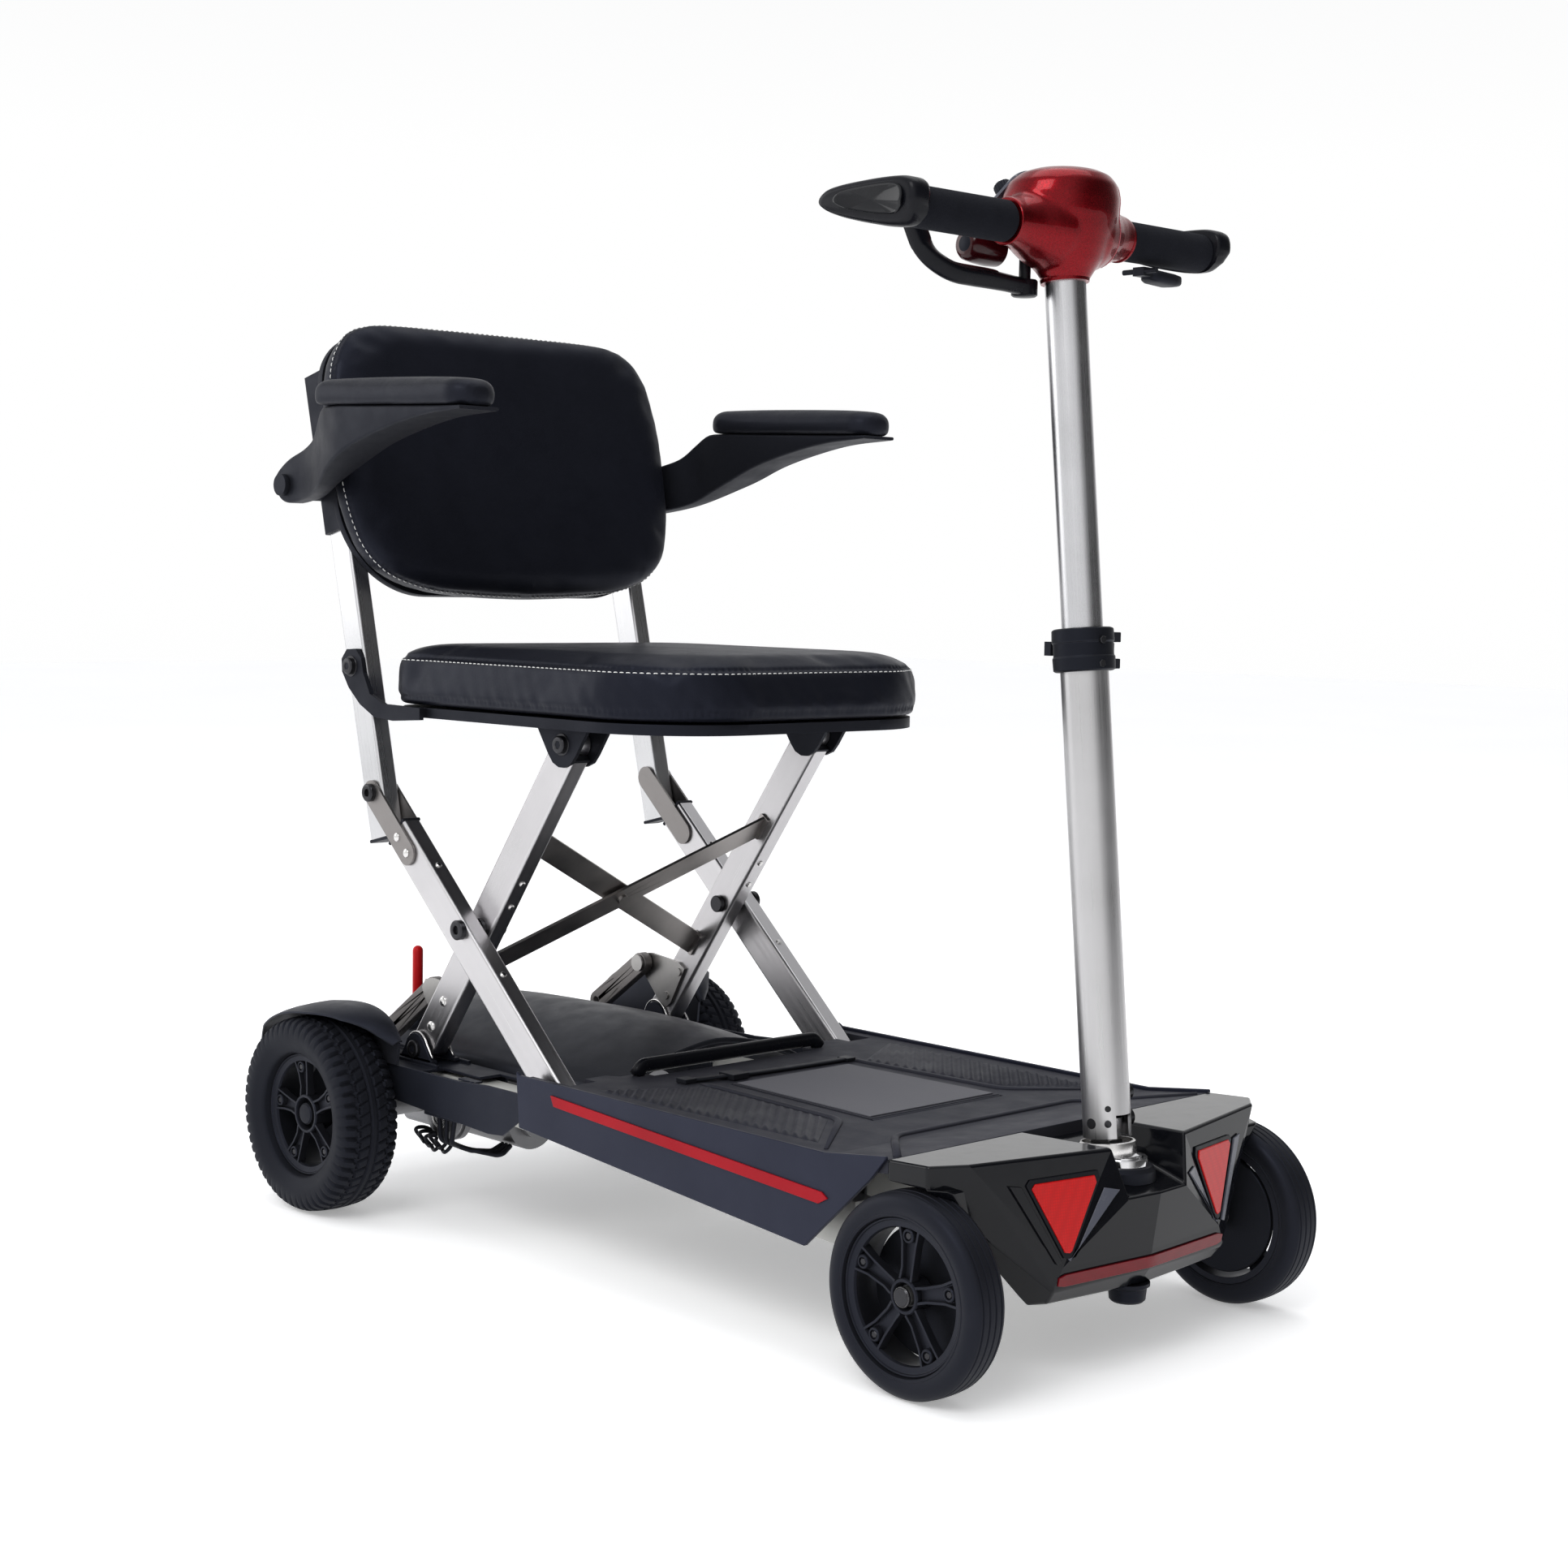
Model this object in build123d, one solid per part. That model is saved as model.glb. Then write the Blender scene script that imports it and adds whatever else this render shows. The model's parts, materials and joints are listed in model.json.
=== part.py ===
from build123d import *
import os
import math

os.makedirs("parts", exist_ok=True)

# ---------------------------------------------------------------- driving sizes
# Millimetres, +X forward, +Y left, +Z up, ground at z = 0.
# Geometry is laid out from the rear axle centre line (x = 0) and moved by
# X_SHIFT so that the middle of the overall length is the part origin.
X_SHIFT = -396.0

REAR_R, REAR_Y0, REAR_Y1 = 100.0, 207.0, 273.0
FRONT_R, FRONT_Y0, FRONT_Y1 = 84.0, 190.0, 230.0
WHEELBASE = 808.0
REAR_AXLE = (0.0, 100.0)
FRONT_AXLE = (WHEELBASE, 84.0)
KINGPIN_Y = 172.0

# folding side frame, pivots in the x,z plane
D = (338.9, 143.3)      # outer leg foot hinge
X = (174.2, 303.0)      # crossing pivot of outer and inner leg
U = (304.6, 491.7)      # inner leg to seat pan
R = (74.8, 168.7)       # inner leg foot in its sliding shoe
P = (23.5, 426.7)       # outer leg to back post
S = (-8.0, 554.1)       # back post to seat arm
LINK = (59.0, 226.0)    # drive link pin on the inner leg bracket
LINK_END = (-14.0, 174.0)

LEG_H = 36.0            # leg tube depth in side view
POST_H = 33.0
LEG_W = 20.0            # leg tube width across the vehicle
OUT_Y0, OUT_Y1 = 173.0, 193.0
IN_Y0, IN_Y1 = 148.5, 168.5
WALL = 2.0

TILT_X, TILT_Z = -72.0, 720.0     # steering column lean
TUBE_R, TUBE_WALL = 20.5, 2.5
INNER_R = 17.5
FOLD = (828.7, 199.0)             # steering column fold pin
STEM_X = 846.0

# ---------------------------------------------------------------- helpers
def save(name, *shapes):
    sols = []
    for sh in shapes:
        for s in sh.solids():
            sols.append(Pos(X_SHIFT, 0, 0) * s)
    comp = Compound(children=sols)
    comp.label = name
    export_step(comp, "parts/" + name + ".step")
    v = sum(s.volume for s in sols)
    bb = comp.bounding_box()
    print(f"{name:24s} {len(sols):3d} solids {v/1000:9.1f} cm3  x {bb.min.X:7.1f} {bb.max.X:7.1f}"
          f"  y {bb.min.Y:7.1f} {bb.max.Y:7.1f}  z {bb.min.Z:7.1f} {bb.max.Z:7.1f}"
          + ("" if all(s.is_valid for s in sols) else "   NOT VALID"))


def poly(pts):
    return make_face(Polyline(*pts, close=True))


def prism_xz(pts, y0, y1):
    pl = Plane(origin=(0, y1, 0), x_dir=(1, 0, 0), z_dir=(0, -1, 0))
    return extrude(pl * poly(pts), amount=y1 - y0)


def prism_xy(pts, z0, z1):
    return extrude(Plane.XY.offset(z0) * poly(pts), amount=z1 - z0)


def prism_yz(pts, x0, x1):
    pl = Plane(origin=(x0, 0, 0), x_dir=(0, 1, 0), z_dir=(1, 0, 0))
    return extrude(pl * poly(pts), amount=x1 - x0)


def box(x0, x1, y0, y1, z0, z1):
    return Pos((x0 + x1) / 2, (y0 + y1) / 2, (z0 + z1) / 2) * Box(x1 - x0, y1 - y0, z1 - z0)


def cyl(p, q, r):
    v = Vector(*q) - Vector(*p)
    pl = Plane(origin=p, z_dir=v.normalized())
    return extrude(pl * Circle(r), amount=v.length)


def cyl_y(c, y0, y1, r):
    return cyl((c[0], y0, c[1]), (c[0], y1, c[1]), r)


def mir(s):
    return mirror(s, about=Plane.XZ)


def direction(a, b):
    l = math.hypot(b[0] - a[0], b[1] - a[1])
    return ((b[0] - a[0]) / l, (b[1] - a[1]) / l)


def along(a, b, s, n=0.0):
    """point s mm from a towards b, n mm to the clockwise side of that line"""
    d = direction(a, b)
    return (a[0] + d[0] * s + d[1] * n, a[1] + d[1] * s - d[0] * n)


def tube_xz(a, b, s0, s1, h, y0, y1, rad=3.0, wall=WALL):
    """rectangular tube along a->b from s0 to s1 (measured from a)"""
    d = direction(a, b)
    o = along(a, b, s0)
    pl = Plane(origin=(o[0], (y0 + y1) / 2, o[1]), x_dir=(0, 1, 0), z_dir=(d[0], 0, d[1]))
    t = extrude(pl * RectangleRounded(y1 - y0, h, rad), amount=s1 - s0)
    if wall:
        t -= extrude(pl * RectangleRounded(y1 - y0 - 2 * wall, h - 2 * wall, max(rad - wall, 0.6)), amount=s1 - s0)
    return t


def plug_xz(a, b, s0, s1, h, y0, y1, rad=1.0):
    return tube_xz(a, b, s0, s1, h, y0, y1, rad, 0)


def slot_plate(a, b, r, y0, y1):
    """flat bar with round ends of radius r between points a and b"""
    d = direction(a, b)
    n = (d[1] * r, -d[0] * r)
    p = prism_xz([(a[0] + n[0], a[1] + n[1]), (b[0] + n[0], b[1] + n[1]),
                  (b[0] - n[0], b[1] - n[1]), (a[0] - n[0], a[1] - n[1])], y0, y1)
    return p + cyl_y(a, y0, y1, r) + cyl_y(b, y0, y1, r)


def soft_edges(s, r):
    """round every edge if the solid allows it"""
    for k in (r, r * 0.7, r * 0.4):
        try:
            t = fillet(s.edges(), k)
            if t.is_valid:
                return t
        except Exception:
            pass
    return s


# ================================================================ chassis
RAIL = [(24, 106), (400, 106), (700, 89), (700, 131), (400, 148), (24, 148)]
rail_in = [(24, 109), (400, 109), (700, 92), (700, 128), (400, 145), (24, 145)]
rail = prism_xz(RAIL, 146, 170) - prism_xz(rail_in, 149, 167)
hinge_pin = cyl_y(D, 170, 197, 7.0) + cyl_y(D, 193.4, 198.0, 11.0)
cross = box(250, 274, -146, 146, 108, 132) - box(253, 271, -146, 146, 111, 129)
cross2 = box(660, 690, -146, 146, 100, 150) - box(663, 687, -146, 146, 103, 147)
spine = box(690, 796, -22, 22, 128, 150) - box(690, 796, -19, 19, 131, 147)
save("chassis_rails", rail + hinge_pin, mir(rail + hinge_pin), cross, cross2 + spine)

# deck: one moulding with the lid pocket, the hand slot and the leg slots
DECK_OUT = [(349, 0), (349, 134), (337, 142), (337, 167.5), (354, 167.5), (354, 198.5), (298, 198.5),
            (298, 210.6), (776, 210.6), (776, 0)]
deck_xy = DECK_OUT + [(x, -y) for x, y in reversed(DECK_OUT) if y > 0]
deck = prism_xz([(298, 168), (298, 178), (706, 178), (776, 187), (776, 175), (724, 170), (716, 168)], -215, 215)
deck = deck & prism_xy(deck_xy, 150, 200)
deck -= prism_xy([(442, -77.5), (637, -86), (637, 86), (442, 77.5)], 150, 200)
deck -= box(349, 366, -106, 106, 150, 200)
ribs = None
for i in range(17):
    x0 = 392 + i * 15.5
    yi = 106 + (x0 - 392) * 0.05
    yo = 199
    if i < 4:
        yo = 150 + i * 14
    b = box(x0, x0 + 7, yi, yo, 178, 180.4)
    ribs = b if ribs is None else ribs + b
deck = deck + ribs + mir(ribs)
save("deck_panel", deck)

SKIRT = [(293, 184), (298, 131), (335, 128), (685, 98), (761, 169), (777, 188), (776, 190), (706, 181), (298, 181)]
skirt = prism_xz(SKIRT, 211, 215) + box(300, 720, 198.8, 211, 160, 165)
save("side_skirts", skirt, mir(skirt))
stripe = prism_xz([(347, 170), (352, 160), (702, 137.5), (713, 143.5), (706, 148)], 215, 216.6)
save("skirt_stripes", stripe, mir(stripe))

path = FilletPolyline((358, -113, 178), (358, -113, 187), (358, 113, 187), (358, 113, 178), radius=7.5)
handle = sweep(Plane(origin=(358, -113, 178), z_dir=(0, 0, 1)) * RectangleRounded(11, 10, 3.5), path=path)
save("deck_handle", handle)

save("battery_pack", soft_edges(box(446, 626, -76, 76, 112, 167), 4))
lid = prism_xy([(443, -76.5), (633, -84.5), (633, 84.5), (443, 76.5)], 171.5, 179) + cyl((633, -84, 175), (633, 84, 175), 3.5)
lid -= box(440, 446, -8, 8, 170, 180)
save("battery_lid", lid)

# ---------------------------------------------------------------- rear end
SIDE = [(-86, 155), (-86, 124), (-26, 112), (-24, 80), (24, 80), (26, 116), (77, 119), (229, 111), (252, 113),
        (292, 141), (296, 158), (228, 158), (180, 155)]
web = prism_xz(SIDE, 196.5, 199.5) - cyl_y(REAR_AXLE, 190, 203, 16.0)
flange = box(-86, 178, 136, 196.5, 152, 155) - box(118, 180, 171.5, 197, 150, 157)
flange += box(175, 255, 136, 145.4, 152, 155)
guide = box(-60, 118, 137, 141, 155, 158.5) + box(-60, 118, 176.5, 180.5, 155, 158.5)
inner_web = box(-86, 178, 136, 139, 120, 152)
tie = box(120, 178, 170.5, 196.5, 112, 116)
save("rear_side_plates", web + flange + guide + inner_web + tie, mir(web + flange + guide + inner_web + tie))

cov_xz = [(-96, 150), (-93, 174), (-66, 190), (-16, 199), (64, 203), (182, 206), (271, 203), (338, 194), (338, 150)]
cov_yz = [(-128, 150), (-122, 160), (-104, 173), (-78, 185), (-45, 196), (0, 203), (45, 196), (78, 185), (104, 173),
          (122, 160), (128, 150)]
cov_xz_i = [(-93, 149), (-90, 172.2), (-65, 187), (-15.6, 196), (64, 200), (182, 203), (270.8, 200), (335, 191.2), (335, 149)]
cov_yz_i = [(-124.5, 149), (-119.8, 158.2), (-102.6, 170.3), (-76.9, 182.2), (-44, 193), (0, 199.8), (44, 193),
            (76.9, 182.2), (102.6, 170.3), (119.8, 158.2), (124.5, 149)]
cover = (prism_xz(cov_xz, -140, 140) & prism_yz(cov_yz, -100, 340)) - (prism_xz(cov_xz_i, -140, 140) & prism_yz(cov_yz_i, -100, 340))
cover -= box(-56, -14, -105, -95, 160, 220)
save("rear_cover", cover)

FEN_O = [(-92, 160), (-84, 173), (-70, 188), (-50, 200), (-20, 208.5), (20, 212), (50, 209), (72, 198), (90, 178)]
FEN_I = [(86, 173), (69.5, 194.5), (48.5, 205.3), (19.5, 208.4), (-19, 205), (-48.2, 196.7), (-67.4, 185.2), (-81, 171), (-88, 159)]
FEN_PLAN = [(-95, 200.2), (92, 200.2), (90, 206), (78, 224), (50, 248), (10, 262), (-30, 266), (-72, 264), (-90, 256), (-95, 244)]
fender = prism_xz(FEN_O + FEN_I, 200.2, 270) & prism_xy(FEN_PLAN, 150, 220)
fin = prism_xz([(-88, 156), (-81, 171), (-67.4, 185.2), (-48.2, 196.7), (-19, 205), (19.5, 208.4), (48.5, 205.3), (69.5, 194.5),
                (86, 173), (82, 156)], 200.2, 203.2)
save("rear_fenders", fender + fin, mir(fender + fin))

axle = cyl((0, -199.5, 100), (0, 199.5, 100), 16.0)
stub = cyl((0, 199.5, 100), (0, 258, 100), 8.5) + cyl((0, 199.5, 100), (0, 206, 100), 14.0)
gear = soft_edges(box(-40, 42, 52, 112, 68, 134), 8)
motor = cyl((42, 82, 96), (150, 82, 96), 31.0) + cyl((150, 82, 96), (158, 82, 96), 18.0)
axle = axle + stub + mir(stub)
unit = axle + gear + motor + mir(gear) + mir(motor) + box(60, 130, -51, 51, 80, 112)
save("drive_unit", unit)

cables = []
for k, (yy, zz) in enumerate([(-128, 82), (-122, 90), (-134, 76)]):
    pth = FilletPolyline((126 + 6 * k, -102, 69), (128 + 8 * k, -118, 64 - k), (112 - 6 * k, -132, 64),
                         (96 + 9 * k, -158, 76), (92 + 14 * k, -158, 105.2), radius=7)
    st = (126 + 6 * k, -102, 69)
    w = Vector(128 + 8 * k - st[0], -118 + 102, 64 - k - st[2])
    cables.append(sweep(Plane(origin=st, z_dir=w.normalized()) * Circle(2.6), path=pth))
save("wiring_harness", *cables)

# ---------------------------------------------------------------- front end
beam = box(796, 820, -160, 160, 128, 150) - box(799, 817, -160, 160, 131, 147)
boss = cyl((808, KINGPIN_Y, 125), (808, KINGPIN_Y, 152), 14.0) + box(798, 818, 156, 164, 129, 149)
boss -= cyl((808, KINGPIN_Y, 120), (808, KINGPIN_Y, 160), 6.05)
save("front_axle_beam", beam + boss + mir(boss))
head_tube = cyl((STEM_X, 0, 128.5), (STEM_X, 0, 161), 23.0) + box(820, 832, -18, 18, 130, 150)
head_tube -= cyl((STEM_X, 0, 120), (STEM_X, 0, 165), 12.05)
save("steering_head", head_tube)


def cowl_solid(e):
    xz = [(776.5, 171 - e), (776.5, 187.2 + e), (800, 192 + e), (846, 191 + e), (880, 178 + e), (892 + e, 164),
          (890 + e, 104), (874 + e, 68 - e), (846, 60 - e), (838, 60 - e), (838, 171 - e)]
    yz = [(-146 - e, 171 - e), (-112 - e, 60 - e), (112 + e, 60 - e), (146 + e, 171 - e),
          (213.5 + e, 171 - e), (213.5 + e, 186 + e), (146 + e, 194 + e), (-146 - e, 194 + e), (-213.5 - e, 186 + e),
          (-213.5 - e, 171 - e)]
    xy = [(776.5, -213.5 - e), (828 + e, -213.5 - e), (858 + e, -146 - e), (884 + e, -74), (892 + e, 0), (884 + e, 74),
          (858 + e, 146 + e), (828 + e, 213.5 + e), (776.5, 213.5 + e)]
    return prism_xz(xz, -230, 230) & prism_yz(yz, 770, 900) & prism_xy(xy, 40, 210)


cowl_o = cowl_solid(0.0)
hollow_xz = [(776, 165), (776, 182), (800, 187), (846, 186), (876, 174), (887, 162), (885, 105), (871, 72), (846, 65),
             (830, 65), (830, 165)]
hollow_xy = [(770, -209), (825, -209), (853, -142.5), (879, -72), (887, 0), (879, 72), (853, 142.5), (825, 209), (770, 209)]
hollow = prism_xz(hollow_xz, -209, 209) & prism_xy(hollow_xy, 40, 210)
shell = cowl_o - (hollow & prism_yz([(-250, 165), (-250, 182), (-146, 189), (146, 189), (250, 182), (250, 165), (150, 50), (-150, 50)], 770, 900))
shell -= box(770, 846, -212, 212, 50, 171.2)
shell -= box(795, 884, -38, 38, 165, 200)
foot = cyl((856, 0, 50), (856, 0, 66), 15.0)
shell = shell + foot
save("front_cowl", *[s for s in shell.solids() if s.volume > 2000])

plus = cowl_solid(2.2) - cowl_solid(0.1)
lens = prism_yz([(69, 168), (131, 166), (101, 111), (95, 111)], 850, 900) & plus
chin = prism_yz([(-113, 92), (113, 92), (109, 80), (-109, 80)], 850, 900) & plus
save("lamp_lenses", lens, mir(lens), *[s for s in chin.solids() if s.volume > 50])
bez = prism_yz([(66, 168), (46, 162), (56, 152), (90, 104), (98, 104), (93.5, 110)], 850, 900) & (cowl_solid(3.2) - cowl_solid(0.1))
save("lamp_bezels", bez, mir(bez))

# ================================================================ outer legs
d_len = math.hypot(P[0] - D[0], P[1] - D[1])
leg = tube_xz(P, D, 56.0, d_len + 14.0, LEG_H, OUT_Y0, OUT_Y1)
plug_top = plug_xz(P, D, 56.0, 62.0, LEG_H - 2 * WALL, OUT_Y0 + WALL, OUT_Y1 - WALL)
plug_bot = plug_xz(P, D, d_len - 14.0, d_len + 14.0, LEG_H - 2 * WALL, OUT_Y0 + WALL, OUT_Y1 - WALL)
mid_plug = plug_xz(P, D, math.hypot(P[0] - X[0], P[1] - X[1]) - 11, math.hypot(P[0] - X[0], P[1] - X[1]) + 11,
                   LEG_H - 2 * WALL, OUT_Y0 + WALL, OUT_Y1 - WALL)
leg = leg + plug_top + plug_bot + mid_plug
leg -= cyl_y(D, 170, 200, 7.05)
leg -= cyl_y(X, 170, 200, 6.0)
leg = leg - box(300, 420, 170, 200, 100, 127)
save("outer_leg_tubes", leg, mir(leg))

rv1, rv2 = along(P, D, 62.0), along(P, D, 84.0)
pl_o = slot_plate(P, rv2, 12.5, 193.4, 195.9)
pl_i = slot_plate(P, rv2, 12.5, 170.2, 172.7)
sp1 = cyl_y(rv1, 172.7, 173.0, 5) + cyl_y(rv2, 172.7, 173.0, 5)
sp2 = cyl_y(rv1, 193.0, 193.4, 5) + cyl_y(rv2, 193.0, 193.4, 5)
rvs = cyl_y(rv1, 195.9, 197.4, 3.6) + cyl_y(rv2, 195.9, 197.4, 3.6)
lp = [pl_o + sp2 + rvs, pl_i + sp1]
save("link_plates", *lp, *[mir(s) for s in lp])

bolt_x = cyl_y(X, 148.2, 193.0, 6.0) + cyl_y(X, 193.0, 199.0, 9.5) + cyl_y(X, 142.5, 148.2, 9.0) + cyl_y(X, 168.8, 173.0, 9.5)
bolt_p = cyl_y(P, 195.9, 201.0, 9.0)
save("outer_leg_bolts", bolt_x, bolt_p, mir(bolt_x), mir(bolt_p))

# ================================================================ inner legs
u_len = math.hypot(U[0] - R[0], U[1] - R[1])
x_s = math.hypot(X[0] - R[0], X[1] - R[1])
leg2 = tube_xz(R, U, 2.0, u_len - 8.0, LEG_H, IN_Y0, IN_Y1)
leg2 += plug_xz(R, U, 2.0, 10.0, LEG_H - 2 * WALL, IN_Y0 + WALL, IN_Y1 - WALL)
leg2 += plug_xz(R, U, u_len - 14.0, u_len - 8.0, LEG_H - 2 * WALL, IN_Y0 + WALL, IN_Y1 - WALL)
leg2 += plug_xz(R, U, x_s - 12.0, x_s + 12.0, LEG_H - 2 * WALL, IN_Y0 + WALL, IN_Y1 - WALL)
leg2 += cyl_y(R, IN_Y0, IN_Y1, 10.5) + slot_plate(R, along(R, U, 6), 10.0, IN_Y0, IN_Y1)
leg2 += cyl_y(U, IN_Y0, IN_Y1, 12.0) + slot_plate(along(U, R, 12), U, 10.0, IN_Y0, IN_Y1)
# bevel under the foot end so the leg can lie low without touching the track
bev = math.radians(26.7)
bd, bm = (math.cos(bev), math.sin(bev)), (-math.sin(bev), math.cos(bev))
b0 = (R[0] - 12.0 * bm[0], R[1] - 12.0 * bm[1])
leg2 -= cyl_y(R, 140, 180, 5.05)
leg2 -= cyl_y(U, 140, 180, 5.05)
leg2 -= cyl_y(X, 140, 180, 6.05)
leg2 -= prism_xz([(b0[0] - 60 * bd[0], b0[1] - 60 * bd[1]), (b0[0] + 60 * bd[0], b0[1] + 60 * bd[1]),
                  (b0[0] + 60 * bd[0] - 50 * bm[0], b0[1] + 60 * bd[1] - 50 * bm[1]),
                  (b0[0] - 60 * bd[0] - 50 * bm[0], b0[1] - 60 * bd[1] - 50 * bm[1])], 140, 180)
save("inner_leg_tubes", leg2, mir(leg2))

# flat cross braces between the inner legs, crossing on the centre line
dd = direction(R, U)
nrm = (dd[1], -dd[0])


def brace(sgn, n0):
    a_s, b_s = x_s - 62.0, x_s + 108.0
    h = 12.5
    c0 = along(R, U, a_s, n0)
    pl = Plane(origin=(along(R, U, x_s, n0)[0], 0, along(R, U, x_s, n0)[1]), x_dir=(0, 1, 0), z_dir=(nrm[0], 0, nrm[1]))
    # local x is Y; local y is the leg direction (or its opposite), found from the plane itself
    sy = 1.0 if (pl.y_dir.X * dd[0] + pl.y_dir.Z * dd[1]) > 0 else -1.0
    a = (-148.4 * sgn, sy * (a_s - x_s))
    b = (148.4 * sgn, sy * (b_s - x_s))
    l = math.hypot(b[0] - a[0], b[1] - a[1])
    t = ((b[0] - a[0]) / l, (b[1] - a[1]) / l)
    hh = h / abs(t[0])
    pts = [(a[0], a[1] - hh), (b[0], b[1] - hh), (b[0], b[1] + hh), (a[0], a[1] + hh)]
    return extrude(pl * poly(pts), amount=3.0)


def brace_tab(s_at, sgn, n0):
    c = along(R, U, s_at)
    pl = Plane(origin=(c[0], 148.5 * sgn, c[1]), x_dir=(nrm[0], 0, nrm[1]), z_dir=(0, -sgn, 0))
    return extrude(pl * (Pos(n0, 0) * RectangleRounded(13, 27, 2)), amount=2.8)


ba = brace(1, 1.6) + brace_tab(x_s - 62, -1, 3.0) + brace_tab(x_s + 108, 1, 3.0)
bb_ = brace(-1, -4.6) + brace_tab(x_s - 62, 1, -3.0) + brace_tab(x_s + 108, -1, -3.0)
cpt = along(R, U, x_s + 23.0)
pin = cyl((cpt[0] - 8 * nrm[0], 0, cpt[1] - 8 * nrm[1]), (cpt[0] + 8 * nrm[0], 0, cpt[1] + 8 * nrm[1]), 5.5)
save("cross_braces", ba - pin, bb_ - pin, pin)

BR = [(122, 226), (112, 232), (66, 237), (54, 235), (48, 226), (52, 216), (80, 186), (92, 180), (100, 186)]
bracket = prism_xz(BR, 145.3, 148.5) + cyl_y(LINK, 130.5, 145.3, 6.0) + cyl_y(LINK, 130.5, 133.4, 9.0)
rvt = cyl_y((112.5, 221.5), 143.6, 145.3, 4.5) + cyl_y((92.0, 193.0), 143.6, 145.3, 4.5)
rvt2 = cyl_y((112.5, 221.5), 168.5, 170.3, 4.5) + cyl_y((92.0, 193.0), 168.5, 170.3, 4.5)
save("link_brackets", bracket + rvt, rvt2, mir(bracket + rvt), mir(rvt2))

rod = slot_plate(LINK, LINK_END, 11.0, 133.9, 144.6) - cyl_y(LINK, 130, 146, 6.05) - cyl_y(LINK_END, 130, 146, 4.5)
save("drive_links", rod, mir(rod))

# sliding shoes under the inner legs
EAR = [(52, 157.2), (100, 157.2), (100, 160), (90, 172), (86, 178), (80, 182), (74, 183.2), (67, 181.5), (62, 177), (58, 170),
       (52, 161)]
shoe = prism_xz(EAR, 169.6, 173.2) + prism_xz(EAR, 143.6, 147.4) + box(48, 60, 143.6, 173.2, 157.2, 160.2)
shoe += box(48, 104, 142, 147.4, 157.2, 160.2) + box(48, 104, 169.6, 175.6, 157.2, 160.2)
shoe += cyl_y(R, 143.6, 173.2, 5.0) + cyl_y(R, 173.2, 179.5, 8.5)
save("foot_shoes", shoe, mir(shoe))

# ================================================================ seat
pan_xy = Plane.XY.offset(507) * (Pos((46 + 468) / 2, 0) * RectangleRounded(422, 382, 40))
pan = extrude(pan_xy, amount=10)
pan_f = extrude(Plane.XY.offset(507) * (Pos(350, 0) * RectangleRounded(236, 382, 105)), amount=10)
pan = (pan & box(0, 350, -200, 200, 500, 520)) + pan_f
pan -= box(110, 420, -135, 135, 506, 512)
lug = prism_xz([(266, 508), (343, 508), (325, 482), (318, 474), (308, 470), (300, 470), (291, 474), (284, 482)], 169.6, 173.6)
lug2 = prism_xz([(266, 508), (343, 508), (325, 482), (318, 474), (308, 470), (300, 470), (291, 474), (284, 482)], 143.6, 147.4)
bolt_u = cyl_y(U, 143.6, 173.6, 5.0) + cyl_y(U, 173.6, 178.5, 8.0)
arm = prism_xz([(-24, 548), (-25, 561), (-16, 571), (0, 572), (10, 563), (14, 548), (26, 527), (50, 518), (112, 517),
                (112, 505), (66, 502), (34, 504), (8, 516), (-12, 532)], 194.4, 199.4)
arm_in = box(60, 112, 184, 194.4, 507.5, 516.5)
bolt_s = cyl_y(S, 171.6, 194.4, 5.0) + cyl_y(S, 199.4, 204.4, 8.0)
side = lug + lug2 + bolt_u + arm + arm_in + bolt_s
pan = pan + side + mir(side)
save("seat_pan", pan)

cush = extrude(Plane.XY.offset(517.5) * (Pos((42 + 380) / 2, 0) * RectangleRounded(338, 388, 42)), amount=59.5)
cush_f = extrude(Plane.XY.offset(517.5) * (Pos(347, 0) * RectangleRounded(252, 388, 112)), amount=59.5)
cush = (cush & box(0, 347, -200, 200, 500, 600)) + cush_f
try:
    top = cush.edges().filter_by(lambda e: e.center().Z > 570)
    cush = fillet(top, 16)
except Exception:
    pass
try:
    low = cush.edges().filter_by(lambda e: e.center().Z < 520)
    cush = fillet(low, 7)
except Exception:
    pass
save("seat_cushion", cush)

# ================================================================ back
pd = direction(P, S)            # up the post
pn = (pd[1], -pd[0])            # forward normal of the post


def bpt(s, n):
    """point in x,z at distance s above S along the post and n forward of it"""
    return (S[0] + pd[0] * s + pn[0] * n, S[1] + pd[1] * s + pn[1] * n)


ps = math.hypot(S[0] - P[0], S[1] - P[1])
post = tube_xz(P, S, -47.0, ps + 300.0, POST_H, OUT_Y0, OUT_Y1)
post += plug_xz(P, S, -47.0, -41.0, POST_H - 2 * WALL, OUT_Y0 + WALL, OUT_Y1 - WALL)
post += plug_xz(P, S, ps - 10, ps + 10, POST_H - 2 * WALL, OUT_Y0 + WALL, OUT_Y1 - WALL)
post -= cyl_y(S, 170, 200, 5.05)
post -= cyl_y(P, 170, 200, 5.0)
save("back_posts", post, mir(post))

back_plane = Plane(origin=(S[0], 0, S[1]), x_dir=(0, 1, 0), z_dir=(pn[0], 0, pn[1]))
sgn_up = 1.0 if (back_plane.y_dir.X * pd[0] + back_plane.y_dir.Z * pd[1]) > 0 else -1.0


def back_block(half, s0, s1, rt, rb, n0, n1):
    pts = [(-half, s0 * sgn_up), (half, s0 * sgn_up), (half, s1 * sgn_up), (-half, s1 * sgn_up)]
    f = poly(pts)
    lo = [v for v in f.vertices() if abs(v.Y - s0 * sgn_up) < 1]
    f = fillet(lo, rb)
    hi = [v for v in f.vertices() if abs(v.Y - s1 * sgn_up) < 1]
    f = fillet(hi, rt)
    pl = back_plane.offset(n0)
    return extrude(pl * f, amount=n1 - n0)


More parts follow.
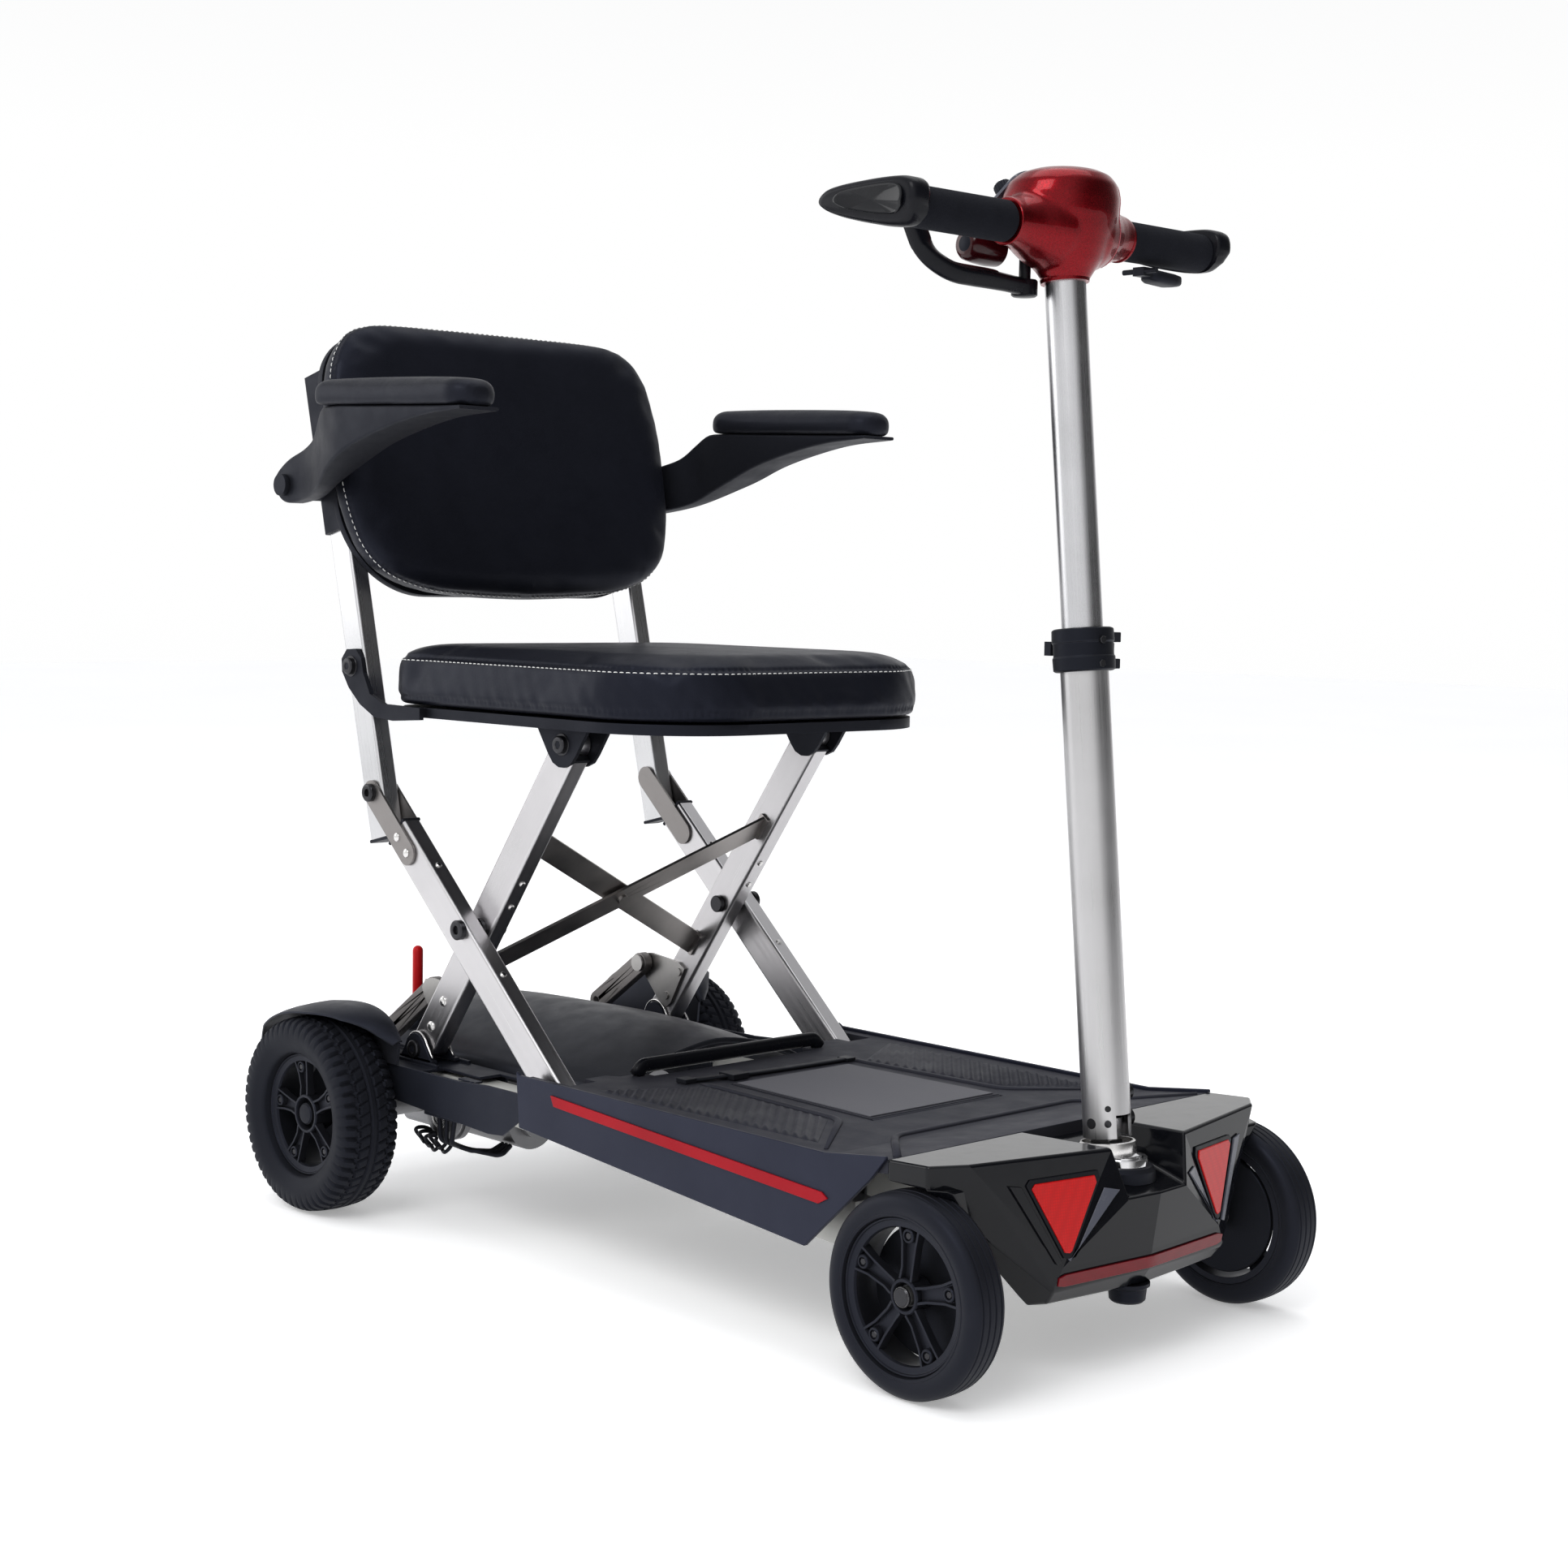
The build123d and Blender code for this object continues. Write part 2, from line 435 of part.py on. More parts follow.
PAD_OUT = [(0, 61.5), (110, 67), (148, 75), (176, 88), (195, 108), (205, 132), (211, 160), (214.6, 205), (215.2, 250),
           (209.5, 292), (199, 318), (183, 336), (158, 346), (120, 350), (0, 351)]


def pad_face(k, ds):
    """outline of the back, k scales nothing but moves every side in by k mm"""
    pts = []
    for y, q in PAD_OUT:
        yy = max(0.0, y - k) if y > 0 else 0.0
        pts.append((yy, (q - 206) * (1 - ds) + 206))
    full = pts + [(-y, q) for y, q in reversed(pts) if y > 0]
    return make_face(Polyline(*[(y, q * sgn_up) for y, q in full], close=True))


pad = extrude(back_plane.offset(25.4) * pad_face(0.0, 0.0), amount=24.6)
pad += loft(Sketch() + [back_plane.offset(50.0) * pad_face(0.0, 0.0), back_plane.offset(59.5) * pad_face(4.5, 0.03)])
pad += loft(Sketch() + [back_plane.offset(59.5) * pad_face(4.5, 0.03), back_plane.offset(64.0) * pad_face(14.0, 0.095)])
save("back_pad", pad)

panel = back_block(206, 69, 346, 64, 96, 17.0, 25.0)
sleeve = tube_xz(P, S, ps + 142, ps + 308, POST_H + 8, 168.6, 197.4, 5, 0) - tube_xz(P, S, ps + 130, ps + 300, POST_H, OUT_Y0, OUT_Y1, 3, 0)
PIV = (-69.0, 737.0)
boss = cyl_y(PIV, 168.6, 221.4, 15.0) - tube_xz(P, S, ps + 130, ps + 300, POST_H, OUT_Y0, OUT_Y1, 3, 0)
apin = cyl_y(PIV, 221.4, 246.0, 7.0) + cyl_y(PIV, 240.4, 246.0, 11.0)
sleeve = sleeve + boss + apin
backshell = panel + sleeve + mir(sleeve)
save("back_shell", backshell)

ARM = [(-87, 742), (-84, 730), (-76, 722), (-64, 718.5), (-50, 720), (10, 728), (68, 752), (130, 777), (216, 794), (288, 799),
       (288, 802.3), (62, 810.0), (38, 809), (-2, 779), (-60, 764), (-81, 752)]
ARM_PLAN = [(-100, 222), (-30, 222), (30, 238), (310, 238), (310, 283), (60, 283), (-40, 240), (-100, 240)]
bracket_l = (prism_xz(ARM, 222, 284) & prism_xy(ARM_PLAN, 700, 830)) - cyl_y(PIV, 220, 250, 7.05)
ARM_TILT = 2.0
padc = extrude(Plane.XY * (Pos(126, 0) * RectangleRounded(252, 55, 24)), amount=27)
padc = fillet(padc.edges().filter_by(lambda e: e.center().Z > 25), 11)
padc = Pos(40, 260, 811.2) * (Rot(0, ARM_TILT, 0) * padc)
save("armrest_bracket_left", bracket_l)
save("armrest_bracket_right", mir(bracket_l))
save("armrest_pad_left", padc)
save("armrest_pad_right", mir(padc))

# ================================================================ steering
stem = cyl((STEM_X, 0, 112), (STEM_X, 0, 164), 12.0) + cyl((STEM_X, 0, 162), (STEM_X, 0, 173), 17.0)
stem += cyl((STEM_X, 0, 108), (STEM_X, 0, 127.9), 15.0)
stem += prism_xz([(822, 165), (858, 165), (858, 173), (846, 177), (838, 184), (838, 202), (834, 208.5), (823, 208.5), (819, 202),
                  (819, 176)], -8.5, 8.5)
stem += box(804, 846, -8, 8, 121, 127.5)
stem -= cyl((FOLD[0], -10, FOLD[1]), (FOLD[0], 10, FOLD[1]), 4.55)
save("steering_stem", stem)

tl = math.hypot(TILT_X, TILT_Z)
ta = (TILT_X / tl, TILT_Z / tl)


def col(s, y=0.0):
    """point on the column axis, s mm above the fold pin"""
    return (FOLD[0] + ta[0] * s, y, FOLD[1] + ta[1] * s)


low_tube = cyl(col(-13), col(402), TUBE_R) - cyl(col(-20), col(410), TUBE_R - TUBE_WALL)
low_tube -= box(828.7, 860, -9.5, 9.5, 150, 232)
low_tube -= prism_xz([(802, 160), (845, 160), (845, 198), (802, 198)], -9.5, 9.5)
low_tube = low_tube - cyl((FOLD[0], -30, FOLD[1]), (FOLD[0], 30, FOLD[1]), 4.5)
save("tiller_tube", *[s for s in low_tube.solids() if s.volume > 1000])
up = col(17)
tb = cyl((FOLD[0], -20.6, FOLD[1]), (FOLD[0], 20.6, FOLD[1]), 4.5) + cyl((FOLD[0], 20.6, FOLD[1]), (FOLD[0], 29, FOLD[1]), 8.0)
tb2 = cyl((up[0], 20.6, up[2]), (up[0], 29, up[2]), 7.0)
save("tiller_bolts", tb, tb2)

CL = 398.0
clamp = cyl(col(CL - 18), col(CL + 18), 26.0) - cyl(col(CL - 20), col(402.01), TUBE_R + 0.01) - cyl(col(CL - 20), col(CL + 20), INNER_R + 0.05)
pc = col(CL)
lugs = box(pc[0] - 8, pc[0] + 10, 24, 37, pc[2] - 15, pc[2] + 15) - box(pc[0] - 10, pc[0] + 12, 28.5, 40, pc[2] - 6.5, pc[2] + 6.5)
clamp = clamp + (lugs - cyl(col(CL - 30), col(CL + 30), 25.9))
clamp -= cyl((pc[0] + 1, 33, pc[2] - 20), (pc[0] + 1, 33, pc[2] + 20), 2.55)
save("tiller_clamp", clamp)
lever = cyl((pc[0] + 1, 33, pc[2] - 16), (pc[0] + 1, 33, pc[2] + 16), 2.5) + cyl((pc[0] + 1, 33, pc[2] - 6.1), (pc[0] + 1, 33, pc[2] + 6.1), 4.2)
larc = prism_xy([(pc[0] - 2.5, 33), (pc[0] + 4.5, 34), (pc[0] - 8, 40.5), (pc[0] - 30, 33.5), (pc[0] - 42, 18), (pc[0] - 45, 2),
                 (pc[0] - 38, 2), (pc[0] - 35, 14), (pc[0] - 25, 28), (pc[0] - 9, 34.5)], pc[2] - 6, pc[2] + 6)
larc -= cyl(col(CL - 30), col(CL + 30), 27.0)
save("clamp_lever", lever + larc)

TOP = 713.0
in_tube = cyl(col(232), col(TOP), INNER_R) - cyl(col(231), col(TOP + 1), INNER_R - 2.0)
save("tiller_inner_tube", in_tube)

# head: smooth body with two arms, top rear cut by the sloping console
secs = []
for (cx, z, rx, ry) in [(757.4, 906, 21.5, 21.5), (755, 924, 33, 33), (750, 948, 44, 50), (748, 974, 45, 50), (750, 990, 36, 40),
                        (752, 998.5, 18, 22)]:
    secs.append(Plane.XY.offset(z) * (Pos(cx, 0) * Ellipse(rx, ry)))
head = loft(Sketch() + secs)
head += cyl((755, -63.8, 947), (755, 63.8, 947), 19.0)
for sg in (1, -1):
    cone = Plane(origin=(755, 30 * sg, 947), z_dir=(0, sg, 0))
    head += loft(Sketch() + [cone * Circle(30.0), cone.offset(28.0) * Circle(19.0)])
head += cyl((716, -64, 929), (716, -34, 929), 14.0) + box(716, 750, -60, -34, 920, 940)
con = prism_xz([(640, 940), (693, 962), (741, 998), (741, 1040), (640, 1040)], -80, 80)
head -= con
head -= cyl((732, -22, 890), (732, -22, 937), 5.06)
head -= cyl(col(690), col(TOP), INNER_R)
save("head_shell", *[s for s in head.solids() if s.volume > 500])
cd = direction((693, 962), (741, 998))
cn = (-cd[1], cd[0])
cpl = Plane(origin=(693 + cd[0] * 30 + cn[0] * 0.2, 0, 962 + cd[1] * 30 + cn[1] * 0.2), x_dir=(0, 1, 0), z_dir=(cn[0], 0, cn[1]))
panel_f = extrude(cpl * RectangleRounded(72, 48, 12), amount=3.0)
hump = extrude(cpl.offset(3.0) * (Pos(2, 2) * RectangleRounded(40, 34, 10)), amount=9.0)
hump = hump - extrude(cpl.offset(3.0) * (Pos(-26, 4 if cpl.y_dir.Z < 0 else -4) * Circle(11)), amount=20)
save("console_panel", panel_f + hump)
kc = cpl.offset(3.3) * Pos(-26, 0)
knob = extrude(cpl.offset(3.3) * (Pos(-26, 4 if cpl.y_dir.Z < 0 else -4) * Circle(8.5)), amount=9.0)
save("speed_knob", knob)
kpos = cpl.offset(3.3).from_local_coords(Vector(-26, 4 if cpl.y_dir.Z < 0 else -4, 0))
print("KNOB", kpos, "axis", cn)

grip = cyl((755, 64.2, 947), (755, 186, 947), 16.7)
save("handlebar_grips", grip, mir(grip))
HORN = [(772, 938), (777, 950), (775, 962), (764, 967), (744, 969), (715, 968), (690, 967), (673, 964), (667, 957), (671, 950),
        (690, 942), (717, 935), (745, 930.5), (762, 931)]
horn = prism_xz(HORN, 186.2, 206)
horn = horn & prism_yz([(186, 929), (196, 929), (206.1, 948), (206.1, 972), (186, 972)], 650, 790)
try:
    horn = fillet(horn.edges().filter_by(lambda e: e.center().Y > 205.5), 3.5)
except Exception:
    pass
save("grip_horns", horn, mir(horn))

# loop lever under the right grip
lv = FilletPolyline((732, -22, 900), (729, -60, 903), (723, -104, 905), (716, -128, 918), (712, -140, 946), radius=12)
w0 = Vector(-3, -60 + 22, 903 - 900)
loop = sweep(Plane(origin=(732, -22, 900), z_dir=w0.normalized(), x_dir=(1, 0, 0)) * RectangleRounded(17, 11, 4), path=lv)
loop += cyl((732, -22, 893.5), (732, -22, 906), 11.0) + cyl((732, -22, 900), (732, -22, 935), 5.0)
save("throttle_lever", loop)

ll = prism_yz([(92, 927.2), (92, 915), (104, 908), (140, 908), (148, 913), (148, 923.6)], 748, 776)
ll += cyl((744, 95.0, 922.0), (780, 95.0, 922.0), 2.3)
save("left_lever", ll)

# ---------------------------------------------------------------- knuckles, tie rod
kb = box(798, 818, 162, 183, 70, 123.6) + cyl((808, KINGPIN_Y, 120), (808, KINGPIN_Y, 156.5), 6.0)
kb += cyl((808, KINGPIN_Y, 152.4), (808, KINGPIN_Y, 157.5), 10.0)
kb += cyl((808, 183, 84), (808, 226, 84), 8.0) + cyl((808, 183, 84), (808, 189.4, 84), 12.0)
kb += box(766, 800, 160, 172, 102, 111)
save("knuckle_left", kb)
save("knuckle_right", mir(kb))
tie_rod = cyl((772, -160, 116), (772, 160, 116), 4.5) + cyl((772, -166, 112), (772, -166, 120), 8.0) + cyl((772, 166, 112), (772, 166, 120), 8.0)
tie_rod += box(772, 820, -7, 7, 113, 119.6)
save("tie_rod", tie_rod)

# freewheel lever beside the cover
fl = cyl((-28, -100, 150), (-28, -100, 204), 3.5) + cyl((-28, -100, 203), (-28, -100, 250), 5.5) + cyl((-28, -106, 148), (-28, -94, 148), 6.0)
fl += Pos(-28, -100, 250) * Sphere(5.5)
save("freewheel_lever", fl)


# ================================================================ wheels
def ring_profile(c, y0, y1, r_in, r_out, rad, grooves):
    """tyre as a revolved rounded band about the wheel axis"""
    pl = Plane(origin=(c[0], 0, c[1]), x_dir=(0, 1, 0), z_dir=(1, 0, 0))
    f = poly([(y0, r_in), (y1, r_in), (y1, r_out), (y0, r_out)])
    vs = [v for v in f.vertices() if abs(v.Y - r_out) < 0.5]
    f = fillet(vs, rad)
    t = revolve(pl * f, axis=Axis((c[0], 0, c[1]), (0, 1, 0)), revolution_arc=360)
    for g in grooves:
        gf = poly([(g - 1.2, r_out - 2.2), (g + 1.2, r_out - 2.2), (g + 1.2, r_out + 2), (g - 1.2, r_out + 2)])
        t -= revolve(pl * gf, axis=Axis((c[0], 0, c[1]), (0, 1, 0)), revolution_arc=360)
    return t


def rim_part(c, y0, y1, r, hub_r, bore, web0, web1, ring_t, windows=5):
    outer = cyl_y(c, y0, y1, r) - cyl_y(c, y0 - 1, y1 + 1, r - ring_t)
    hub = cyl_y(c, y0, y1 - 2, hub_r)
    web_ = cyl_y(c, web0, web1, r - ring_t + 0.5)
    for k in range(windows):
        a = math.radians(90 + 360 / windows * k + 180 / windows)
        ca, sa = math.cos(a), math.sin(a)
        r0, r1, w0_, w1_ = hub_r + 6, r - ring_t - 3, 5.0, (r - ring_t) * 0.42
        pts = []
        for rr, ww in ((r0, -w0_), (r1 * 0.93, -w1_), (r1, -w1_ * 0.5), (r1, w1_ * 0.5), (r1 * 0.93, w1_), (r0, w0_)):
            pts.append((c[0] + rr * ca - ww * sa, c[1] + rr * sa + ww * ca))
        web_ -= prism_xz(pts, web0 - 2, web1 + 2)
    w = outer + hub + web_
    for k in range(windows):
        a = math.radians(90 + 360 / windows * k)
        w += cyl_y((c[0] + (r - ring_t - 5) * math.cos(a), c[1] + (r - ring_t - 5) * math.sin(a)), web1 - 1, web1 + 3.5, 4.5)
    w -= cyl_y(c, y0 - 2, y1 + 2, bore)
    return w


t_rear = ring_profile(REAR_AXLE, REAR_Y0, REAR_Y1, 62.0, REAR_R, 13.0, [232.0, 248.0])
t_front = ring_profile(FRONT_AXLE, FRONT_Y0, FRONT_Y1, 64.0, FRONT_R, 8.0, [202.0, 210.0, 218.0])
r_rear = rim_part(REAR_AXLE, 212, 262, 62.0, 15.0, 8.55, 246, 254, 6.0)
r_front = rim_part(FRONT_AXLE, 190.5, 228, 64.0, 14.0, 8.05, 214, 221, 6.0)
save("tyre_rear_left", t_rear)
save("tyre_rear_right", mir(t_rear))
save("rim_rear_left", r_rear)
save("rim_rear_right", mir(r_rear))
save("tyre_front_left", t_front)
save("tyre_front_right", mir(t_front))
save("rim_front_left", r_front)
save("rim_front_right", mir(r_front))
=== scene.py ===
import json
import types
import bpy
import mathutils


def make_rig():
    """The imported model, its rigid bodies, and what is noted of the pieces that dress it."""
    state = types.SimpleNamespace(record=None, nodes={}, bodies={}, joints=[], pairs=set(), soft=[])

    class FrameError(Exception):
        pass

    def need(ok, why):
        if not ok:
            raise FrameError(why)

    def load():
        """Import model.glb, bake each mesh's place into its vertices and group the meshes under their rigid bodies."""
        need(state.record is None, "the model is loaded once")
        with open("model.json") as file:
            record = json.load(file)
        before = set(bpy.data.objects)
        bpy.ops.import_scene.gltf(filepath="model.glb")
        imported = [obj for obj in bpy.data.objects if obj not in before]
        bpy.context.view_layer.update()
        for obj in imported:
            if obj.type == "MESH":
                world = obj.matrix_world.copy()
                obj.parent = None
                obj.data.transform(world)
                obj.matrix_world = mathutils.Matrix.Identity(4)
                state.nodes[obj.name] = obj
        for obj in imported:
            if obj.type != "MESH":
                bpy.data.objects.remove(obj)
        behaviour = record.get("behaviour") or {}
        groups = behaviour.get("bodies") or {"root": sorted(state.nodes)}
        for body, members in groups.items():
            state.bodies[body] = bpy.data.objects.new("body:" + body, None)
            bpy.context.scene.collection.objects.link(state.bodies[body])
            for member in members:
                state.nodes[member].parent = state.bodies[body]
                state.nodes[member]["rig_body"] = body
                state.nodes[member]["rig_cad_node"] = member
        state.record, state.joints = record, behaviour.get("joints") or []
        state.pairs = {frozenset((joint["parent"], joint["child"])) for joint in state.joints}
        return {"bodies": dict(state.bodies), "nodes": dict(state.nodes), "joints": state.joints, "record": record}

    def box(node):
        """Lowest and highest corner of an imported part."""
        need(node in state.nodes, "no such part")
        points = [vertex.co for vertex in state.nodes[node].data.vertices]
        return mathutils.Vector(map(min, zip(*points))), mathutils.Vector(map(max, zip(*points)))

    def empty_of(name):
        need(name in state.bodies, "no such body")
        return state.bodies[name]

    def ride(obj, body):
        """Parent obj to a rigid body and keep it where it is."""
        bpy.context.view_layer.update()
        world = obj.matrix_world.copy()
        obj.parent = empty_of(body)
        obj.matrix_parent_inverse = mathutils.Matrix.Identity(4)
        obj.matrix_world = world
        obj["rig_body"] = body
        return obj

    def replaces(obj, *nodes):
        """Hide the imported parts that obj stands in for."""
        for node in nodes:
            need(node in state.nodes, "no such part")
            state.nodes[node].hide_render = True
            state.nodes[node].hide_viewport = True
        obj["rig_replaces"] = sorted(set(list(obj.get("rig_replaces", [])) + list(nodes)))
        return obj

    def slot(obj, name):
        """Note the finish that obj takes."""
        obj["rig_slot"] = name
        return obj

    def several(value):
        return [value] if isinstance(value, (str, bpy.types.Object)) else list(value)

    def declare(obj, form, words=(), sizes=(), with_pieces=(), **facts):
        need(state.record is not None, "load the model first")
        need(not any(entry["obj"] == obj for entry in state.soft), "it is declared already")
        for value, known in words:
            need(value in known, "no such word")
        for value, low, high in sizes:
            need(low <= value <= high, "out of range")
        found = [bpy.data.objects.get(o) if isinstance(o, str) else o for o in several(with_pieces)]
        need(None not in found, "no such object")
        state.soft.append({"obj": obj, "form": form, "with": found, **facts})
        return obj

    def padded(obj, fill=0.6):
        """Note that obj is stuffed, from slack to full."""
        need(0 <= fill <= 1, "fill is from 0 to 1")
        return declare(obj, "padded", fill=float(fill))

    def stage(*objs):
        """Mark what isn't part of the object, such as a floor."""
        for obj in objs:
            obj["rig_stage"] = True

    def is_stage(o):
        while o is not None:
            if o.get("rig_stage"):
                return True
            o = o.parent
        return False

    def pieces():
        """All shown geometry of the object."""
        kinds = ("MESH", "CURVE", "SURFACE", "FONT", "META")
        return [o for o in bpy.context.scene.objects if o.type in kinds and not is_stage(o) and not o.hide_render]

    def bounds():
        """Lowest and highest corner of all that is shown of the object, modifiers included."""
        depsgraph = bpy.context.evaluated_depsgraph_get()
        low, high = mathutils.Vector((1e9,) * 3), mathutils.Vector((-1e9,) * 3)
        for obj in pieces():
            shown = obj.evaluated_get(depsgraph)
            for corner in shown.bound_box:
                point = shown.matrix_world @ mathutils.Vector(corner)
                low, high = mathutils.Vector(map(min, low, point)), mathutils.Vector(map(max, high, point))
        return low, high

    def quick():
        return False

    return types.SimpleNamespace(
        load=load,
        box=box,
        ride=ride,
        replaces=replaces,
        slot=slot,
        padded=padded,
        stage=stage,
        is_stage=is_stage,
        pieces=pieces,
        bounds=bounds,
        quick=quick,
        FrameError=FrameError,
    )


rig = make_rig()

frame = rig.load()

import json
import math
import random

import bmesh
import bpy
import numpy as np
from mathutils import Matrix, Vector
from mathutils.bvhtree import BVHTree

random.seed(7)
CAD_LO, CAD_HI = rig.bounds()
SC = bpy.context.scene
COL = SC.collection
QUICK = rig.quick()
FULL = not QUICK

# lengths in this script are millimetres from the rear axle centre line (x forward, y left, z up)
_a, _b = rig.box("tyre_rear_left")
AXLE_X = (_a.x + _b.x) / 2


def V(x, y, z):
    return Vector((AXLE_X + x * 0.001, y * 0.001, z * 0.001))


# ------------------------------------------------------------------ materials
def node(nt, kind, **kw):
    n = nt.nodes.new(kind)
    for k, v in kw.items():
        setattr(n, k, v)
    return n


def bsdf(name):
    m = bpy.data.materials.new(name)
    m.use_nodes = True
    return m, m.node_tree, m.node_tree.nodes["Principled BSDF"]


def coords(nt, rot=(0, 0, 0), scale=(1, 1, 1)):
    tc = node(nt, "ShaderNodeTexCoord")
    mp = node(nt, "ShaderNodeMapping")
    mp.inputs["Rotation"].default_value = rot
    mp.inputs["Scale"].default_value = scale
    nt.links.new(tc.outputs["Object"], mp.inputs["Vector"])
    return mp.outputs["Vector"]


def noise(nt, vec, scale, detail=3.0, rough=0.55, dist=0.0):
    n = node(nt, "ShaderNodeTexNoise")
    n.inputs["Scale"].default_value = scale
    n.inputs["Detail"].default_value = detail
    n.inputs["Roughness"].default_value = rough
    n.inputs["Distortion"].default_value = dist
    nt.links.new(vec, n.inputs["Vector"])
    return n.outputs["Fac"]


def voronoi(nt, vec, scale, feature="F1", out="Distance", rnd=1.0):
    n = node(nt, "ShaderNodeTexVoronoi", feature=feature)
    n.inputs["Scale"].default_value = scale
    n.inputs["Randomness"].default_value = rnd
    nt.links.new(vec, n.inputs["Vector"])
    return n.outputs[out]


def ramp(nt, fac, stops):
    r = node(nt, "ShaderNodeValToRGB")
    cr = r.color_ramp
    cr.elements[0].position, cr.elements[0].color = stops[0][0], (*stops[0][1], 1)
    cr.elements[1].position, cr.elements[1].color = stops[-1][0], (*stops[-1][1], 1)
    for p, c in stops[1:-1]:
        e = cr.elements.new(p)
        e.color = (*c, 1)
    nt.links.new(fac, r.inputs["Fac"])
    return r.outputs["Color"]


def remap(nt, fac, a, b, lo, hi):
    n = node(nt, "ShaderNodeMapRange")
    n.inputs["From Min"].default_value = a
    n.inputs["From Max"].default_value = b
    n.inputs["To Min"].default_value = lo
    n.inputs["To Max"].default_value = hi
    nt.links.new(fac, n.inputs["Value"])
    return n.outputs["Result"]


def maths(nt, op, a, b):
    n = node(nt, "ShaderNodeMath", operation=op)
    for i, v in enumerate((a, b)):
        if isinstance(v, (int, float)):
            n.inputs[i].default_value = v
        else:
            nt.links.new(v, n.inputs[i])
    return n.outputs[0]


def bump(nt, p, height, strength, dist, below=None):
    b = node(nt, "ShaderNodeBump")
    b.inputs["Strength"].default_value = strength
    b.inputs["Distance"].default_value = dist
    nt.links.new(height, b.inputs["Height"])
    if below is not None:
        nt.links.new(below, b.inputs["Normal"])
    nt.links.new(b.outputs["Normal"], p.inputs["Normal"])
    return b.outputs["Normal"]


def shade(c, k):
    return tuple(min(1.0, max(0.0, v * k)) for v in c)


def plastic(name, base, rough=0.5, grain=900.0, depth=0.00012, strength=0.35, var=0.14, coat=0.0, wear=0.25, rvar=0.07,
            spec=0.5):
    """moulded plastic or powder coat: fine grain, soft cloudiness, paler worn edges"""
    m, nt, p = bsdf(name)
    v = coords(nt)
    big = noise(nt, v, 9.0, 4.0)
    fine = voronoi(nt, v, grain)
    col = ramp(nt, big, [(0.3, shade(base, 1 - var)), (0.7, shade(base, 1 + var))])
    geo = node(nt, "ShaderNodeNewGeometry")
    edge = remap(nt, geo.outputs["Pointiness"], 0.52, 0.60, 0.0, wear)
    mix = node(nt, "ShaderNodeMix", data_type="RGBA")
    nt.links.new(edge, mix.inputs["Factor"])
    nt.links.new(col, mix.inputs["A"])
    mix.inputs["B"].default_value = (*[min(1.0, c * 2.2 + 0.02) for c in base], 1)
    nt.links.new(mix.outputs["Result"], p.inputs["Base Color"])
    nt.links.new(remap(nt, noise(nt, v, 35.0, 5.0), 0.3, 0.7, rough - rvar, rough + rvar), p.inputs["Roughness"])
    p.inputs["Specular IOR Level"].default_value = spec
    if max(base) < 0.06:
        p.inputs["Specular Tint"].default_value = (0.66, 0.72, 1.0, 1)
    if coat:
        p.inputs["Coat Weight"].default_value = coat
        p.inputs["Coat Roughness"].default_value = 0.06
    bump(nt, p, fine, strength, depth)
    return m


def gloss(name, base, rough=0.16, coat=0.6, var=0.1, metal=0.0, spec=0.3):
    m, nt, p = bsdf(name)
    v = coords(nt)
    big = noise(nt, v, 14.0, 3.0)
    nt.links.new(ramp(nt, big, [(0.3, shade(base, 1 - var)), (0.7, shade(base, 1 + var))]), p.inputs["Base Color"])
    nt.links.new(remap(nt, noise(nt, v, 60.0, 6.0, 0.6), 0.3, 0.75, rough * 0.7, rough * 1.5), p.inputs["Roughness"])
    p.inputs["Metallic"].default_value = metal
    p.inputs["Specular IOR Level"].default_value = spec
    p.inputs["Coat Weight"].default_value = coat
    p.inputs["Coat Roughness"].default_value = 0.04
    bump(nt, p, noise(nt, v, 240.0, 2.0), 0.06, 0.0004)
    return m


def alu(name, base=(0.80, 0.79, 0.80), rough=0.33, angle=0.0, axis="Y", metal=1.0, lines=0.25, var=0.05):
    """drawn, satin-anodised aluminium: fine lines run along the tube"""
    m, nt, p = bsdf(name)
    rot = (0, angle, 0) if axis == "Y" else (0, 0, angle)
    v = coords(nt, rot=rot, scale=(1, 1, 1))
    mp2 = node(nt, "ShaderNodeMapping")
    mp2.inputs["Scale"].default_value = (3.0, 900.0, 900.0)
    nt.links.new(v, mp2.inputs["Vector"])
    streak = noise(nt, mp2.outputs["Vector"], 1.0, 3.0)
    cloud = noise(nt, v, 11.0, 4.0)
    nt.links.new(ramp(nt, cloud, [(0.3, shade(base, 1 - var)), (0.7, shade(base, 1 + var * 0.6))]), p.inputs["Base Color"])
    p.inputs["Metallic"].default_value = metal
    r = maths(nt, "ADD", remap(nt, streak, 0.3, 0.7, rough - 0.05, rough + 0.06), remap(nt, cloud, 0.3, 0.7, -0.03, 0.03))
    nt.links.new(r, p.inputs["Roughness"])
    bump(nt, p, streak, lines, 0.00006)
    return m


def steel(name, base=(0.55, 0.53, 0.51), rough=0.38, metal=1.0, grain=500.0, var=0.12):
    m, nt, p = bsdf(name)
    v = coords(nt)
    cloud = noise(nt, v, 26.0, 6.0, 0.65)
    nt.links.new(ramp(nt, cloud, [(0.28, shade(base, 1 - var)), (0.72, shade(base, 1 + var))]), p.inputs["Base Color"])
    p.inputs["Metallic"].default_value = metal
    nt.links.new(remap(nt, cloud, 0.3, 0.7, rough - 0.07, rough + 0.09), p.inputs["Roughness"])
    bump(nt, p, noise(nt, v, grain, 4.0), 0.15, 0.0001)
    return m


